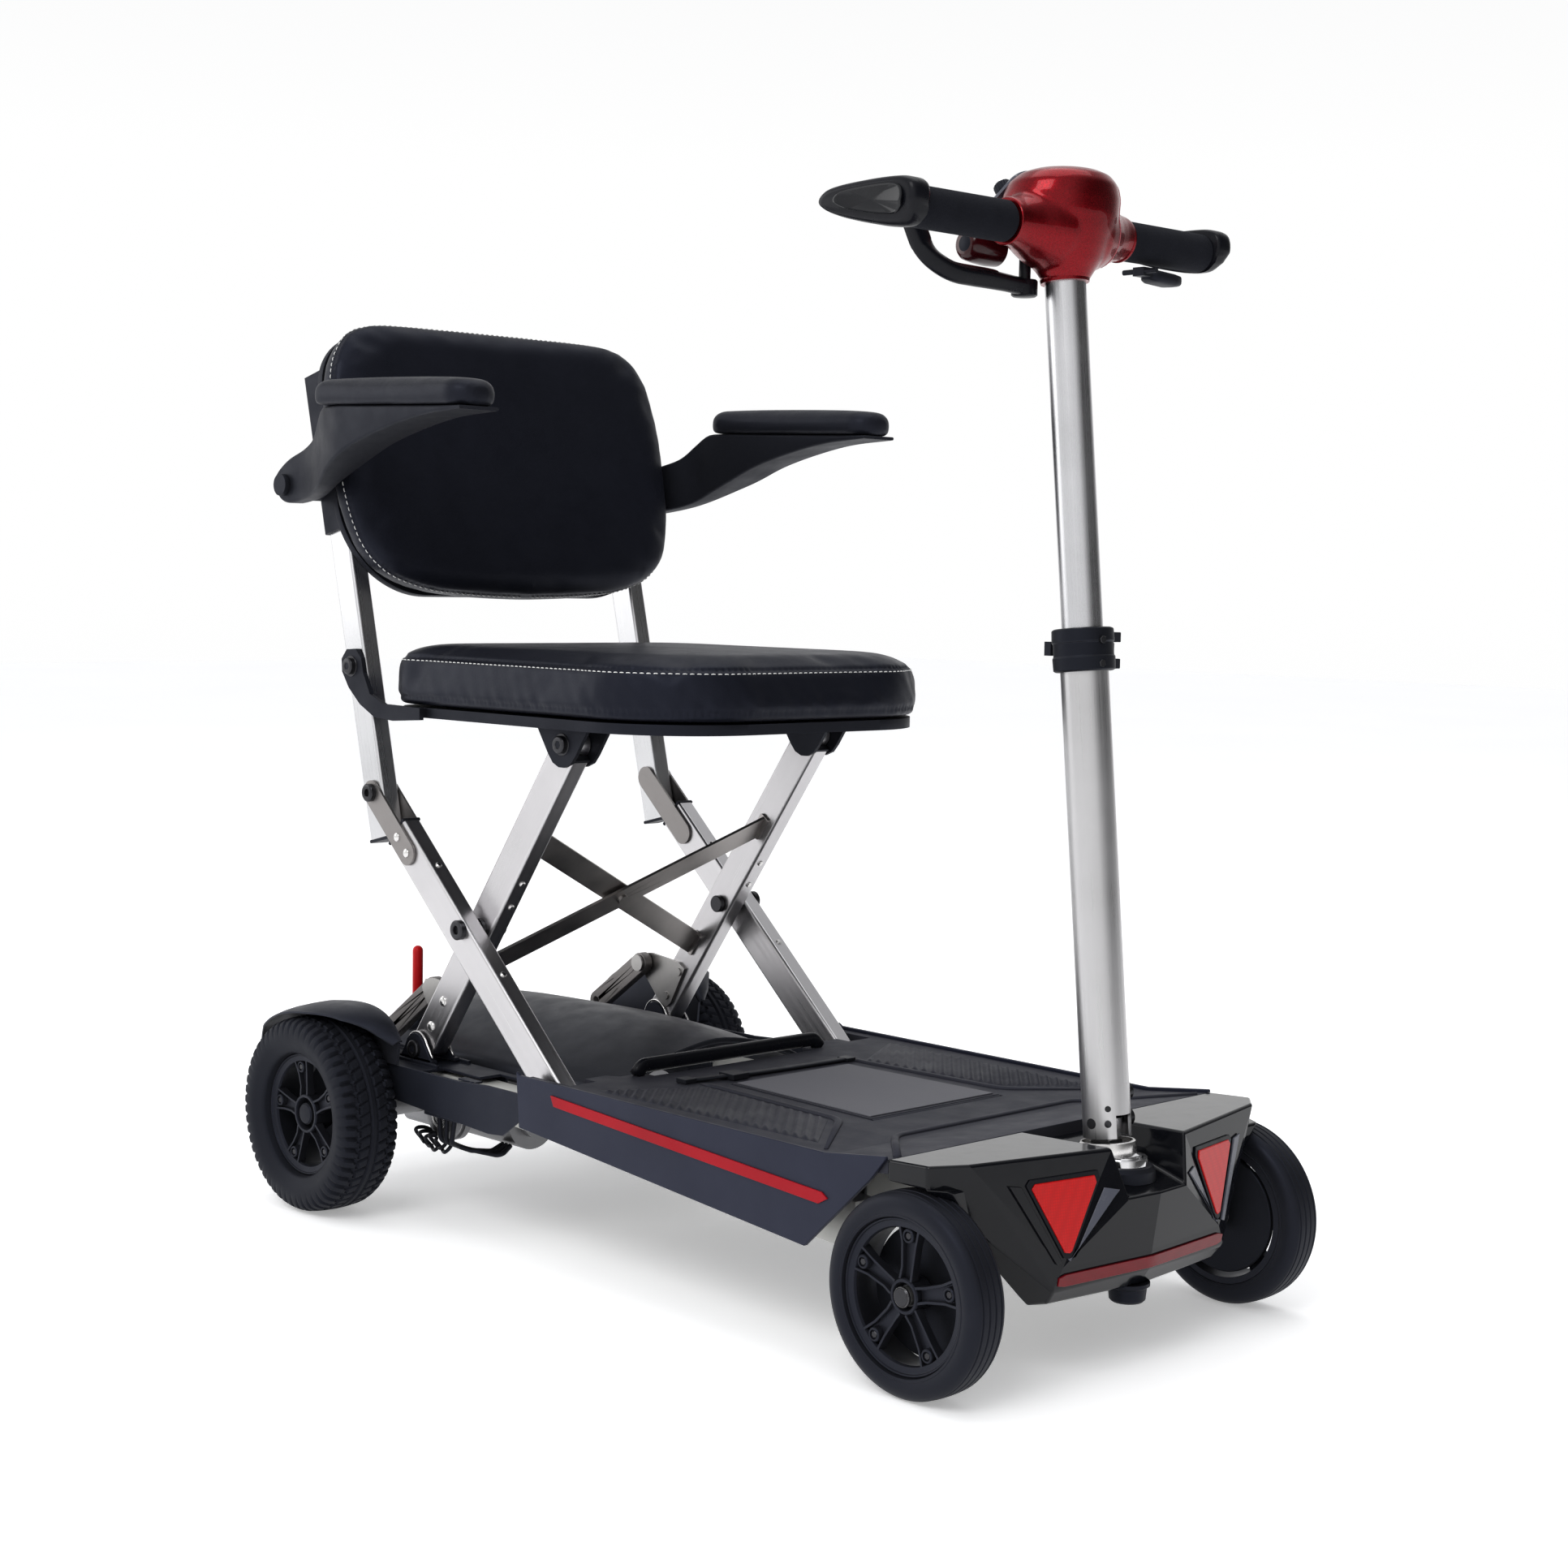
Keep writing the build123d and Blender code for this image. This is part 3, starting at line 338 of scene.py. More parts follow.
def vinyl(name, base=(0.0075, 0.0082, 0.0125), rough=0.42):
    """upholstery vinyl: pebbled leather grain with fine creases"""
    m, nt, p = bsdf(name)
    v = coords(nt)
    cell = voronoi(nt, v, 620.0, "DISTANCE_TO_EDGE")
    cell = remap(nt, cell, 0.0, 0.16, 0.0, 1.0)
    pore = noise(nt, v, 1500.0, 3.0)
    fold = noise(nt, v, 30.0, 4.0, 0.6, 0.4)
    big = noise(nt, v, 6.0, 3.0)
    nt.links.new(ramp(nt, big, [(0.3, shade(base, 0.86)), (0.7, shade(base, 1.16))]), p.inputs["Base Color"])
    r = maths(nt, "ADD", remap(nt, fold, 0.3, 0.7, rough - 0.05, rough + 0.06), remap(nt, cell, 0.0, 1.0, 0.08, -0.02))
    nt.links.new(r, p.inputs["Roughness"])
    p.inputs["Specular IOR Level"].default_value = 0.26
    p.inputs["Specular Tint"].default_value = (0.66, 0.72, 1.0, 1)
    p.inputs["Coat Weight"].default_value = 0.05
    p.inputs["Coat Roughness"].default_value = 0.28
    n1 = bump(nt, p, fold, 0.10, 0.0010)
    h = maths(nt, "ADD", cell, maths(nt, "MULTIPLY", pore, 0.35))
    bump(nt, p, h, 0.28, 0.00016, n1)
    return m


def rubber(name, base, rough=0.62, grain=700.0, dust=0.35):
    m, nt, p = bsdf(name)
    v = coords(nt)
    big = noise(nt, v, 18.0, 5.0, 0.6)
    dusty = shade(base, 1.0 + dust)
    nt.links.new(ramp(nt, big, [(0.35, shade(base, 0.9)), (0.6, base), (0.78, dusty)]), p.inputs["Base Color"])
    nt.links.new(remap(nt, big, 0.3, 0.75, rough - 0.08, rough + 0.10), p.inputs["Roughness"])
    p.inputs["Specular IOR Level"].default_value = 0.25
    p.inputs["Specular Tint"].default_value = (0.66, 0.72, 1.0, 1)
    bump(nt, p, noise(nt, v, grain, 3.0), 0.18, 0.0002)
    return m


def foam(name, base=(0.011, 0.0115, 0.0145)):
    m, nt, p = bsdf(name)
    v = coords(nt)
    cells = voronoi(nt, v, 1150.0)
    big = noise(nt, v, 60.0, 4.0)
    nt.links.new(ramp(nt, big, [(0.3, shade(base, 0.85)), (0.7, shade(base, 1.25))]), p.inputs["Base Color"])
    nt.links.new(remap(nt, big, 0.3, 0.7, 0.84, 0.95), p.inputs["Roughness"])
    p.inputs["Sheen Weight"].default_value = 0.03
    p.inputs["Specular IOR Level"].default_value = 0.2
    p.inputs["Specular Tint"].default_value = (0.66, 0.72, 1.0, 1)
    p.inputs["Sheen Roughness"].default_value = 0.4
    bump(nt, p, cells, 0.55, 0.0005)
    return m


def candy(name):
    """deep red metallic under clear lacquer"""
    m, nt, p = bsdf(name)
    v = coords(nt)
    flake = voronoi(nt, v, 1800.0, "F1", "Color")
    sep = node(nt, "ShaderNodeSeparateColor")
    nt.links.new(flake, sep.inputs["Color"])
    col = ramp(nt, sep.outputs["Red"], [(0.0, (0.150, 0.0008, 0.004)), (1.0, (0.27, 0.0024, 0.009))])
    nt.links.new(col, p.inputs["Base Color"])
    p.inputs["Metallic"].default_value = 0.90
    nt.links.new(remap(nt, sep.outputs["Green"], 0.0, 1.0, 0.26, 0.40), p.inputs["Roughness"])
    p.inputs["Coat Weight"].default_value = 0.45
    p.inputs["Coat Roughness"].default_value = 0.03
    p.inputs["Coat IOR"].default_value = 1.45
    bump(nt, p, noise(nt, v, 160.0, 2.0), 0.03, 0.0006)
    return m


def lens(name, base=(0.50, 0.002, 0.002), painted_glow=0.05):
    """moulded red reflector: small prisms behind a clear face, with a painted glow (emission, though it is no lamp)"""
    m, nt, p = bsdf(name)
    v = coords(nt)
    cell = voronoi(nt, v, 420.0, "F1", "Distance", 0.0)
    col = ramp(nt, cell, [(0.0, shade(base, 1.18)), (0.6, shade(base, 0.92))])
    nt.links.new(col, p.inputs["Base Color"])
    nt.links.new(remap(nt, noise(nt, v, 40.0, 3.0), 0.3, 0.7, 0.10, 0.2), p.inputs["Roughness"])
    # painted glow: the prism colour is also emitted, though the reflector is no lamp
    nt.links.new(col, p.inputs["Emission Color"])
    p.inputs["Emission Strength"].default_value = painted_glow
    p.inputs["Specular IOR Level"].default_value = 0.25
    p.inputs["Coat Weight"].default_value = 0.25
    p.inputs["Coat Roughness"].default_value = 0.03
    bump(nt, p, cell, 0.10, 0.0004)
    return m


def matting(name, base=(0.125, 0.125, 0.142)):
    """the paler ribbed mat set in the battery lid: tiny raised dots"""
    m, nt, p = bsdf(name)
    v = coords(nt)
    dots = voronoi(nt, v, 520.0, "F1", "Distance", 0.0)
    big = noise(nt, v, 7.0, 5.0)
    nt.links.new(ramp(nt, big, [(0.3, shade(base, 0.92)), (0.7, shade(base, 1.08))]), p.inputs["Base Color"])
    nt.links.new(remap(nt, big, 0.3, 0.7, 0.62, 0.76), p.inputs["Roughness"])
    bump(nt, p, dots, 0.35, 0.0003)
    return m


def ang(a, b):
    """turn about Y that lays the line a->b in the x,z plane along X"""
    return math.atan2(b[1] - a[1], b[0] - a[0])


D, X, U, R = (338.9, 143.3), (174.2, 303.0), (304.6, 491.7), (74.8, 168.7)
P, S, LINK, LINK_END = (23.5, 426.7), (-8.0, 554.1), (59.0, 226.0), (-14.0, 174.0)
FOLD = (828.7, 199.0)
PIV = (-69.0, 737.0)

M = {}
M["alu_leg1"] = alu("alu_outer_leg", angle=ang(P, D), base=(0.60, 0.59, 0.60))
M["alu_leg2"] = alu("alu_inner_leg", angle=ang(R, U), base=(0.58, 0.57, 0.58))
M["alu_post"] = alu("alu_post", angle=ang(P, S), base=(0.62, 0.62, 0.63), rough=0.30)
M["alu_col"] = alu("alu_column", angle=math.atan2(720, -72), base=(0.56, 0.555, 0.56), rough=0.32)
M["alu_col2"] = alu("alu_column_upper", angle=math.atan2(720, -72), base=(0.60, 0.60, 0.615), rough=0.27)
M["steel_link"] = steel("steel_link", base=(0.30, 0.285, 0.28), rough=0.48)
M["steel_brace"] = steel("steel_brace", base=(0.42, 0.40, 0.39), rough=0.40)
M["steel_bracket"] = steel("steel_bracket", base=(0.46, 0.45, 0.44), rough=0.36)
M["zinc"] = steel("zinc", base=(0.72, 0.71, 0.70), rough=0.24, grain=900)
M["cast"] = steel("cast_alloy", base=(0.42, 0.41, 0.40), rough=0.5, grain=350)
M["frame_white"] = plastic("frame_white", (0.62, 0.62, 0.59), rough=0.42, grain=1200, strength=0.12, wear=0.05)
M["frame_dark"] = plastic("frame_dark", (0.016, 0.0175, 0.024), rough=0.48, grain=1100, strength=0.22, spec=0.28)
M["deck"] = plastic("deck_plastic", (0.034, 0.034, 0.041), rough=0.60, grain=800, strength=0.34, spec=0.28)
M["deck_rib"] = plastic("deck_rib", (0.030, 0.030, 0.037), rough=0.55, grain=800, strength=0.3, spec=0.28)
M["skirt"] = plastic("skirt_plastic", (0.022, 0.024, 0.038), rough=0.42, grain=1000, strength=0.16, spec=0.25)
M["cover"] = plastic("cover_plastic", (0.021, 0.022, 0.026), rough=0.40, grain=900, strength=0.2, spec=0.3)
M["fender"] = plastic("fender_plastic", (0.018, 0.019, 0.024), rough=0.42, grain=900, strength=0.25, spec=0.3)
M["black"] = plastic("black_plastic", (0.009, 0.0095, 0.0115), rough=0.45, grain=1000, strength=0.25, spec=0.25)
M["pan"] = plastic("pan_plastic", (0.010, 0.0105, 0.013), rough=0.50, grain=900, strength=0.3, spec=0.25)
M["arm"] = plastic("arm_plastic", (0.012, 0.0125, 0.0155), rough=0.52, grain=900, strength=0.35, spec=0.25)
M["gloss"] = gloss("gloss_black", (0.006, 0.0065, 0.009), rough=0.12, coat=0.2)
M["gloss_soft"] = gloss("gloss_soft", (0.007, 0.0075, 0.011), rough=0.30, coat=0.06, spec=0.2)
M["cowl"] = gloss("cowl_gloss", (0.006, 0.0065, 0.009), rough=0.12, coat=0.12, spec=0.28)
# paler pinkish red for the head's parting line: a painted highlight
M["painted_highlight_red"] = gloss("painted_highlight_red", (0.42, 0.10, 0.12), rough=0.25, coat=0.5)
M["bezel"] = gloss("bezel_grey", (0.10, 0.105, 0.13), rough=0.22, coat=0.3)
M["chrome"] = steel("chrome", base=(0.80, 0.80, 0.81), rough=0.12, grain=2000, var=0.04)
M["red_stripe"] = plastic("red_stripe", (0.33, 0.004, 0.013), rough=0.38, grain=1100, strength=0.3, wear=0.0, coat=0.0, spec=0.2)
M["red_lever"] = plastic("red_lever", (0.55, 0.006, 0.010), rough=0.36, grain=900, strength=0.12, wear=0.0, coat=0.0, spec=0.25)
M["red_dark"] = gloss("red_dark", (0.040, 0.002, 0.004), rough=0.18, coat=0.35)
M["candy"] = candy("candy_red")
# both lens materials carry a painted glow, fainter on the dark chin strip
M["lens"] = lens("lens_red")
M["lens_dark"] = lens("lens_dark", base=(0.17, 0.003, 0.008), painted_glow=0.01)
M["vinyl"] = vinyl("vinyl_black")
M["armpad"] = vinyl("armpad_skin", base=(0.010, 0.0105, 0.014), rough=0.47)
M["foam"] = foam("foam_grip")
M["tyre_rear"] = rubber("tyre_rear_rubber", (0.0115, 0.012, 0.0145), rough=0.58)
M["tyre_front"] = rubber("tyre_front_rubber", (0.014, 0.0145, 0.018), rough=0.48)
M["rim"] = plastic("rim_plastic", (0.014, 0.0145, 0.018), rough=0.42, grain=1000, strength=0.12, wear=0.3, spec=0.3)
M["bolt"] = steel("black_bolt", base=(0.055, 0.055, 0.06), rough=0.30, metal=0.85, grain=900)
M["cable"] = rubber("cable_rubber", (0.015, 0.015, 0.017), rough=0.45, dust=0.1)
M["thread"] = plastic("thread_white", (0.70, 0.70, 0.69), rough=0.8, grain=4000, strength=0.6, wear=0.0)
M["mat"] = matting("lid_mat")
M["motor"] = steel("motor_case", base=(0.30, 0.30, 0.31), rough=0.42, grain=300)

CAD_MATS = {
    "chassis_rails": "frame_white", "deck_panel": "deck", "side_skirts": "skirt", "skirt_stripes": "red_stripe",
    "deck_handle": "black", "battery_pack": "black", "battery_lid": "mat", "rear_side_plates": "frame_dark",
    "rear_cover": "cover", "rear_fenders": "fender", "drive_unit": "motor", "wiring_harness": "cable",
    "front_axle_beam": "cast", "steering_head": "frame_dark", "front_cowl": "gloss", "lamp_lenses": "lens",
    "lamp_bezels": "bezel", "outer_leg_tubes": "alu_leg1", "link_plates": "steel_link", "outer_leg_bolts": "bolt",
    "inner_leg_tubes": "alu_leg2", "cross_braces": "steel_brace", "link_brackets": "steel_bracket",
    "drive_links": "steel_link", "foot_shoes": "frame_dark", "seat_pan": "pan", "seat_cushion": "vinyl",
    "back_posts": "alu_post", "back_pad": "vinyl", "back_shell": "arm", "armrest_bracket_left": "arm",
    "armrest_bracket_right": "arm", "armrest_pad_left": "armpad", "armrest_pad_right": "armpad",
    "steering_stem": "chrome", "tiller_tube": "alu_col", "tiller_bolts": "bolt", "tiller_clamp": "black",
    "clamp_lever": "black", "tiller_inner_tube": "alu_col2", "head_shell": "candy", "console_panel": "bezel",
    "speed_knob": "chrome", "handlebar_grips": "foam", "grip_horns": "gloss", "throttle_lever": "gloss_soft",
    "left_lever": "black", "knuckle_left": "cast", "knuckle_right": "cast", "tie_rod": "bolt",
    "freewheel_lever": "red_lever", "tyre_rear_left": "tyre_rear", "tyre_rear_right": "tyre_rear",
    "rim_rear_left": "rim", "rim_rear_right": "rim", "tyre_front_left": "tyre_front", "tyre_front_right": "tyre_front",
    "rim_front_left": "rim", "rim_front_right": "rim",
}
BEVEL_CAD = {
    "chassis_rails": 0.8, "skirt_stripes": 0.5, "battery_lid": 0.6, "rear_side_plates": 0.8, "link_plates": 0.6,
    "cross_braces": 0.6, "link_brackets": 0.6, "drive_links": 0.9, "foot_shoes": 0.9, "front_axle_beam": 0.8,
    "steering_stem": 0.8, "steering_head": 0.8, "tie_rod": 0.6, "knuckle_left": 1.2, "knuckle_right": 1.2,
    "clamp_lever": 0.7, "armrest_bracket_left": 3.0, "armrest_bracket_right": 3.0, "back_shell": 1.2, "seat_pan": 1.2,
    "side_skirts": 0.9, "left_lever": 1.6, "tiller_clamp": 0.8, "tiller_bolts": 0.8, "outer_leg_bolts": 0.8, "deck_handle": 0.6,
}
for n, o in frame["nodes"].items():
    o.data.materials.clear()
    o.data.materials.append(M[CAD_MATS[n]])
    if n in BEVEL_CAD:
        w = o.modifiers.new("weld", "WELD")
        w.merge_threshold = 0.00002
        b = o.modifiers.new("edge", "BEVEL")
        b.width = BEVEL_CAD[n] * 0.001
        b.segments = 2
        b.limit_method = "ANGLE"
        b.angle_limit = math.radians(42)
        b.use_clamp_overlap = True

# ------------------------------------------------------------------ camera, floor and light
cam_data = bpy.data.cameras.new("camera")
cam = bpy.data.objects.new("camera", cam_data)
COL.objects.link(cam)
yaw, pitch, roll = math.radians(136.33), math.radians(-4.65), math.radians(1.05)
fwd = Vector((math.cos(yaw) * math.cos(pitch), math.sin(yaw) * math.cos(pitch), math.sin(pitch)))
right = Vector((math.sin(yaw), -math.cos(yaw), 0))
up = right.cross(fwd)
r2 = math.cos(roll) * right + math.sin(roll) * up
u2 = -math.sin(roll) * right + math.cos(roll) * up
rot = Matrix((r2, u2, -fwd)).transposed()
cam.matrix_world = Matrix.Translation(V(2148.9, -1644.7, 649.55)) @ rot.to_4x4()
cam_data.sensor_width = 36.0
cam_data.lens = 57.56
cam_data.clip_start, cam_data.clip_end = 0.05, 60
SC.camera = cam


def area(name, loc, look, size, power, color=(1, 1, 1)):
    d = bpy.data.lights.new(name, "AREA")
    d.shape = "RECTANGLE"
    d.size, d.size_y = size
    d.energy = power
    d.color = color
    o = bpy.data.objects.new(name, d)
    COL.objects.link(o)
    o.location = loc
    o.rotation_mode = "QUATERNION"
    o.rotation_quaternion = (Vector(look) - Vector(loc)).to_track_quat("-Z", "Y")
    return o


def floor_mat():
    m, nt, p = bsdf("floor_pale")
    v = coords(nt)
    nt.links.new(ramp(nt, noise(nt, v, 1.2, 3.0), [(0.3, (0.93, 0.93, 0.935)), (0.7, (0.955, 0.955, 0.955))]), p.inputs["Base Color"])
    p.inputs["Emission Color"].default_value = (1, 1, 1, 1)
    p.inputs["Emission Strength"].default_value = 0.34
    p.inputs["Roughness"].default_value = 0.85
    p.inputs["Specular IOR Level"].default_value = 0.2
    return m


fl = bpy.data.meshes.new("floor")
fl.from_pydata([(-14, -14, 0), (14, -14, 0), (14, 14, 0), (-14, 14, 0)], [], [(0, 1, 2, 3)])
floor = bpy.data.objects.new("floor", fl)
COL.objects.link(floor)
fl.materials.append(floor_mat())
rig.stage(floor)

world = bpy.data.worlds.new("studio")
SC.world = world
world.use_nodes = True
wnt = world.node_tree
bg = wnt.nodes["Background"]
tc = wnt.nodes.new("ShaderNodeTexCoord")
sp = wnt.nodes.new("ShaderNodeSeparateXYZ")
wnt.links.new(tc.outputs["Generated"], sp.inputs["Vector"])
wr = ramp(wnt, remap(wnt, sp.outputs["Z"], -1.0, 1.0, 0.0, 1.0),
          [(0.0, (0.9, 0.9, 0.9)), (0.50, (1.0, 1.0, 1.0)), (0.58, (1.0, 1.0, 1.0)), (1.0, (0.62, 0.63, 0.65))])
wnt.links.new(wr, bg.inputs["Color"])
# the studio is darker on the far front side of the vehicle
toward = maths(wnt, "ADD", maths(wnt, "MULTIPLY", sp.outputs["X"], 0.74), maths(wnt, "MULTIPLY", sp.outputs["Y"], 0.67))
wnt.links.new(remap(wnt, toward, 0.42, 0.86, 1.0, 0.10), bg.inputs["Strength"])
area("key", (1.2, -3.0, 3.2), (0, 0, 0.5), (2.2, 1.6), 48)
area("left_fill", (-2.6, -1.8, 1.6), (0, 0, 0.5), (1.6, 2.2), 16)
area("top", (0.0, 0.4, 3.4), (0, 0, 0.4), (2.4, 2.4), 26)
SC.view_settings.view_transform = "Standard"
SC.view_settings.gamma = 0.88
# ------------------------------------------------------------------ mesh helpers
def dress(o, mat, body, rep=(), slot=None, smooth=True, sharp=38, bevel=0.0, seg=2, subd=0):
    me = o.data
    me.materials.clear()
    me.materials.append(M[mat])
    for p in me.polygons:
        p.use_smooth = smooth
    if smooth and sharp:
        me.set_sharp_from_angle(angle=math.radians(sharp))
    if bevel:
        b = o.modifiers.new("edge", "BEVEL")
        b.width = bevel * 0.001
        b.segments = seg
        b.limit_method = "ANGLE"
        b.angle_limit = math.radians(28)
        b.harden_normals = True
    if subd:
        s = o.modifiers.new("sub", "SUBSURF")
        s.levels = s.render_levels = subd
    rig.ride(o, body)
    if rep:
        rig.replaces(o, *rep)
    if slot:
        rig.slot(o, slot)
    return o


class Mb:
    """collects closed shapes in mm into one mesh"""

    def __init__(s):
        s.v, s.f = [], []

    def add(s, v, f):
        k = len(s.v)
        s.v += [tuple(p) for p in v]
        s.f += [tuple(i + k for i in q) for q in f]
        return s

    def rings(s, rs, cap=True, closed=True):
        n = len(rs[0])
        f = []
        for i in range(len(rs) - 1):
            for j in range(n if closed else n - 1):
                a, b = i * n + j, i * n + (j + 1) % n
                f.append((a, b, b + n, a + n))
        if cap:
            f.append(tuple(reversed(range(n))))
            f.append(tuple((len(rs) - 1) * n + j for j in range(n)))
        return s.add([p for r in rs for p in r], f)

    def loop(s, rs):
        """rings joined into a closed loop, like a tyre"""
        n, k = len(rs[0]), len(rs)
        f = []
        for i in range(k):
            for j in range(n):
                f.append((i * n + j, i * n + (j + 1) % n, ((i + 1) % k) * n + (j + 1) % n, ((i + 1) % k) * n + j))
        return s.add([p for r in rs for p in r], f)

    def prism(s, pts, plane, t0, t1):
        def m(p, t):
            return (p[0], t, p[1]) if plane == "xz" else (p[0], p[1], t) if plane == "xy" else (t, p[0], p[1])
        return s.rings([[m(p, t0) for p in pts], [m(p, t1) for p in pts]])

    def box(s, x0, x1, y0, y1, z0, z1):
        return s.prism([(x0, y0), (x1, y0), (x1, y1), (x0, y1)], "xy", z0, z1)

    def lathe(s, c, d, prof, n=48):
        c, d = Vector(c), Vector(d).normalized()
        a = d.orthogonal().normalized()
        b = d.cross(a)
        rs = []
        for t, r in prof:
            rs.append([tuple(c + d * t + (a * math.cos(q) + b * math.sin(q)) * r) for q in
                       [2 * math.pi * i / n for i in range(n)]])
        return s.rings(rs)

    def cyl(s, p, q, r, n=28, r2=None, e=0.0):
        p, q = Vector(p), Vector(q)
        l = (q - p).length
        r2 = r if r2 is None else r2
        if e:
            prof = [(0, r - e), (e, r), (l - e, r2), (l, r2 - e)]
        else:
            prof = [(0, r), (l, r2)]
        return s.lathe(p, q - p, prof, n)

    def sweep(s, pts, sec, upv=(0, 0, 1), cap=True, scale=None):
        """sec: list of (side, up) offsets; pts a polyline"""
        pts = [Vector(p) for p in pts]
        rs = []
        for i, p in enumerate(pts):
            t = (pts[min(i + 1, len(pts) - 1)] - pts[max(i - 1, 0)]).normalized()
            side = t.cross(Vector(upv)).normalized()
            u = side.cross(t).normalized()
            k = 1.0 if scale is None else scale[i]
            rs.append([tuple(p + side * a * k + u * b * k) for a, b in sec])
        return s.rings(rs, cap)

    def tube(s, pts, r, n=12, upv=(0.013, 0.021, 1)):
        sec = [(r * math.cos(2 * math.pi * i / n), r * math.sin(2 * math.pi * i / n)) for i in range(n)]
        return s.sweep(pts, sec, upv)

    def hexa(s, c, d, af, h, turn=0.0):
        c, d = Vector(c), Vector(d).normalized()
        a = d.orthogonal().normalized()
        b = d.cross(a)
        r = af / math.sqrt(3)
        rs = []
        for t, k in ((0, 1.0), (h * 0.82, 1.0), (h, 0.88)):
            rs.append([tuple(c + d * t + (a * math.cos(q) + b * math.sin(q)) * r * k) for q in
                       [turn + math.pi / 3 * i for i in range(6)]])
        return s.rings(rs)

    def mir(s):
        k = len(s.v)
        n = len(s.f)
        s.v += [(x, -y, z) for x, y, z in s.v[:k]]
        s.f += [tuple(i + k for i in reversed(q)) for q in s.f[:n]]
        return s

    def bm(s, merge=True):
        bm = bmesh.new()
        vs = [bm.verts.new(V(*p)) for p in s.v]
        for f in s.f:
            try:
                bm.faces.new([vs[i] for i in f])
            except ValueError:
                pass
        if merge:
            bmesh.ops.remove_doubles(bm, verts=bm.verts, dist=2e-6)
        bmesh.ops.recalc_face_normals(bm, faces=bm.faces)
        return bm

    def obj(s, name, mat, body, merge=True, **kw):
        bm = s.bm(merge)
        me = bpy.data.meshes.new(name)
        bm.to_mesh(me)
        bm.free()
        o = bpy.data.objects.new(name, me)
        COL.objects.link(o)
        return dress(o, mat, body, **kw)


def arc_path(pts, rad, k=6):
    """polyline with rounded corners"""
    out = [Vector(pts[0])]
    for i in range(1, len(pts) - 1):
        a, b, c = Vector(pts[i - 1]), Vector(pts[i]), Vector(pts[i + 1])
        l = min(rad, (a - b).length * 0.45, (c - b).length * 0.45)
        p, q = b + (a - b).normalized() * l, b + (c - b).normalized() * l
        for j in range(k + 1):
            t = j / k
            out.append((1 - t) ** 2 * p + 2 * t * (1 - t) * b + t * t * q)
    out.append(Vector(pts[-1]))
    return out


def smooth_path(pts, k=8):
    """Catmull-Rom curve through the points"""
    P_ = [Vector(p) for p in pts]
    P_ = [P_[0] * 2 - P_[1]] + P_ + [P_[-1] * 2 - P_[-2]]
    out = []
    for i in range(1, len(P_) - 2):
        for j in range(k):
            t = j / k
            a, b, c, d = P_[i - 1], P_[i], P_[i + 1], P_[i + 2]
            out.append(0.5 * ((2 * b) + (c - a) * t + (2 * a - 5 * b + 4 * c - d) * t * t + (3 * b - a - 3 * c + d) * t ** 3))
    out.append(P_[-2])
    return out


def oval(w, h, n=16, p=2.6):
    """rounded section of width w and height h"""
    o = []
    for i in range(n):
        a = 2 * math.pi * i / n
        c, s_ = math.cos(a), math.sin(a)
        o.append((math.copysign(abs(c) ** (2 / p), c) * w / 2, math.copysign(abs(s_) ** (2 / p), s_) * h / 2))
    return o


def round_rect(x0, x1, y0, y1, radii, k=10):
    """outline with radii at (x1,y1), (x0,y1), (x0,y0), (x1,y0)"""
    o = []
    for (cx, cy, sx, sy), r, a0 in zip(((x1, y1, -1, -1), (x0, y1, 1, -1), (x0, y0, 1, 1), (x1, y0, -1, 1)), radii,
                                       (0, 90, 180, 270)):
        for j in range(k + 1):
            a = math.radians(a0 + 90 * j / k)
            o.append((cx + sx * r + r * math.cos(a), cy + sy * r + r * math.sin(a)))
    return o


def applied(o):
    dg = bpy.context.evaluated_depsgraph_get()
    me = bpy.data.meshes.new_from_object(o.evaluated_get(dg))
    o.modifiers.clear()
    o.data = me
    return o


def coords_of(me):
    co = np.zeros(len(me.vertices) * 3)
    me.vertices.foreach_get("co", co)
    return co.reshape(-1, 3)


def put_coords(me, co):
    me.vertices.foreach_set("co", np.asarray(co, dtype=np.float64).ravel())
    me.update()


def inflate(name, mb, voxel, pressure, cap, hold, frames=16, stiff=12.0, smooth_it=4):
    """a stuffed skin: remeshed, blown up as cloth with part of it held, and movement capped (mm)"""
    bm = mb.bm()
    me = bpy.data.meshes.new(name)
    bm.to_mesh(me)
    bm.free()
    o = bpy.data.objects.new(name, me)
    COL.objects.link(o)
    r = o.modifiers.new("r", "REMESH")
    r.mode = "VOXEL"
    r.voxel_size = voxel * 0.001
    applied(o)
    co0 = coords_of(o.data)
    if FULL:
        vg = o.vertex_groups.new(name="hold")
        for i, c in enumerate(co0):
            w = hold(c)
            if w > 0:
                vg.add([i], w, "REPLACE")
        c = o.modifiers.new("cloth", "CLOTH")
        st = c.settings
        st.quality = 4
        st.mass = 0.25
        st.tension_stiffness = stiff
        st.compression_stiffness = stiff
        st.shear_stiffness = stiff * 0.5
        st.bending_stiffness = 0.6
        st.use_pressure = True
        st.uniform_pressure_force = pressure
        st.vertex_group_mass = "hold"
        st.effector_weights.gravity = 0
        c.point_cache.frame_start = 1
        c.point_cache.frame_end = frames
        for f in range(1, frames + 1):
            SC.frame_set(f)
        applied(o)
        co1 = coords_of(o.data)
        d = co1 - co0
        l = np.linalg.norm(d, axis=1)
        k = cap * 0.001
        lim = k * np.tanh(l / k)
        co1 = co0 + d * (lim / np.maximum(l, 1e-9))[:, None]
        put_coords(o.data, co1)
        SC.frame_set(1)
        o.vertex_groups.clear()
    s = o.modifiers.new("s", "SMOOTH")
    s.factor = 0.5
    s.iterations = smooth_it
    q = o.modifiers.new("q", "SUBSURF")
    q.levels = q.render_levels = 1
    return applied(o)


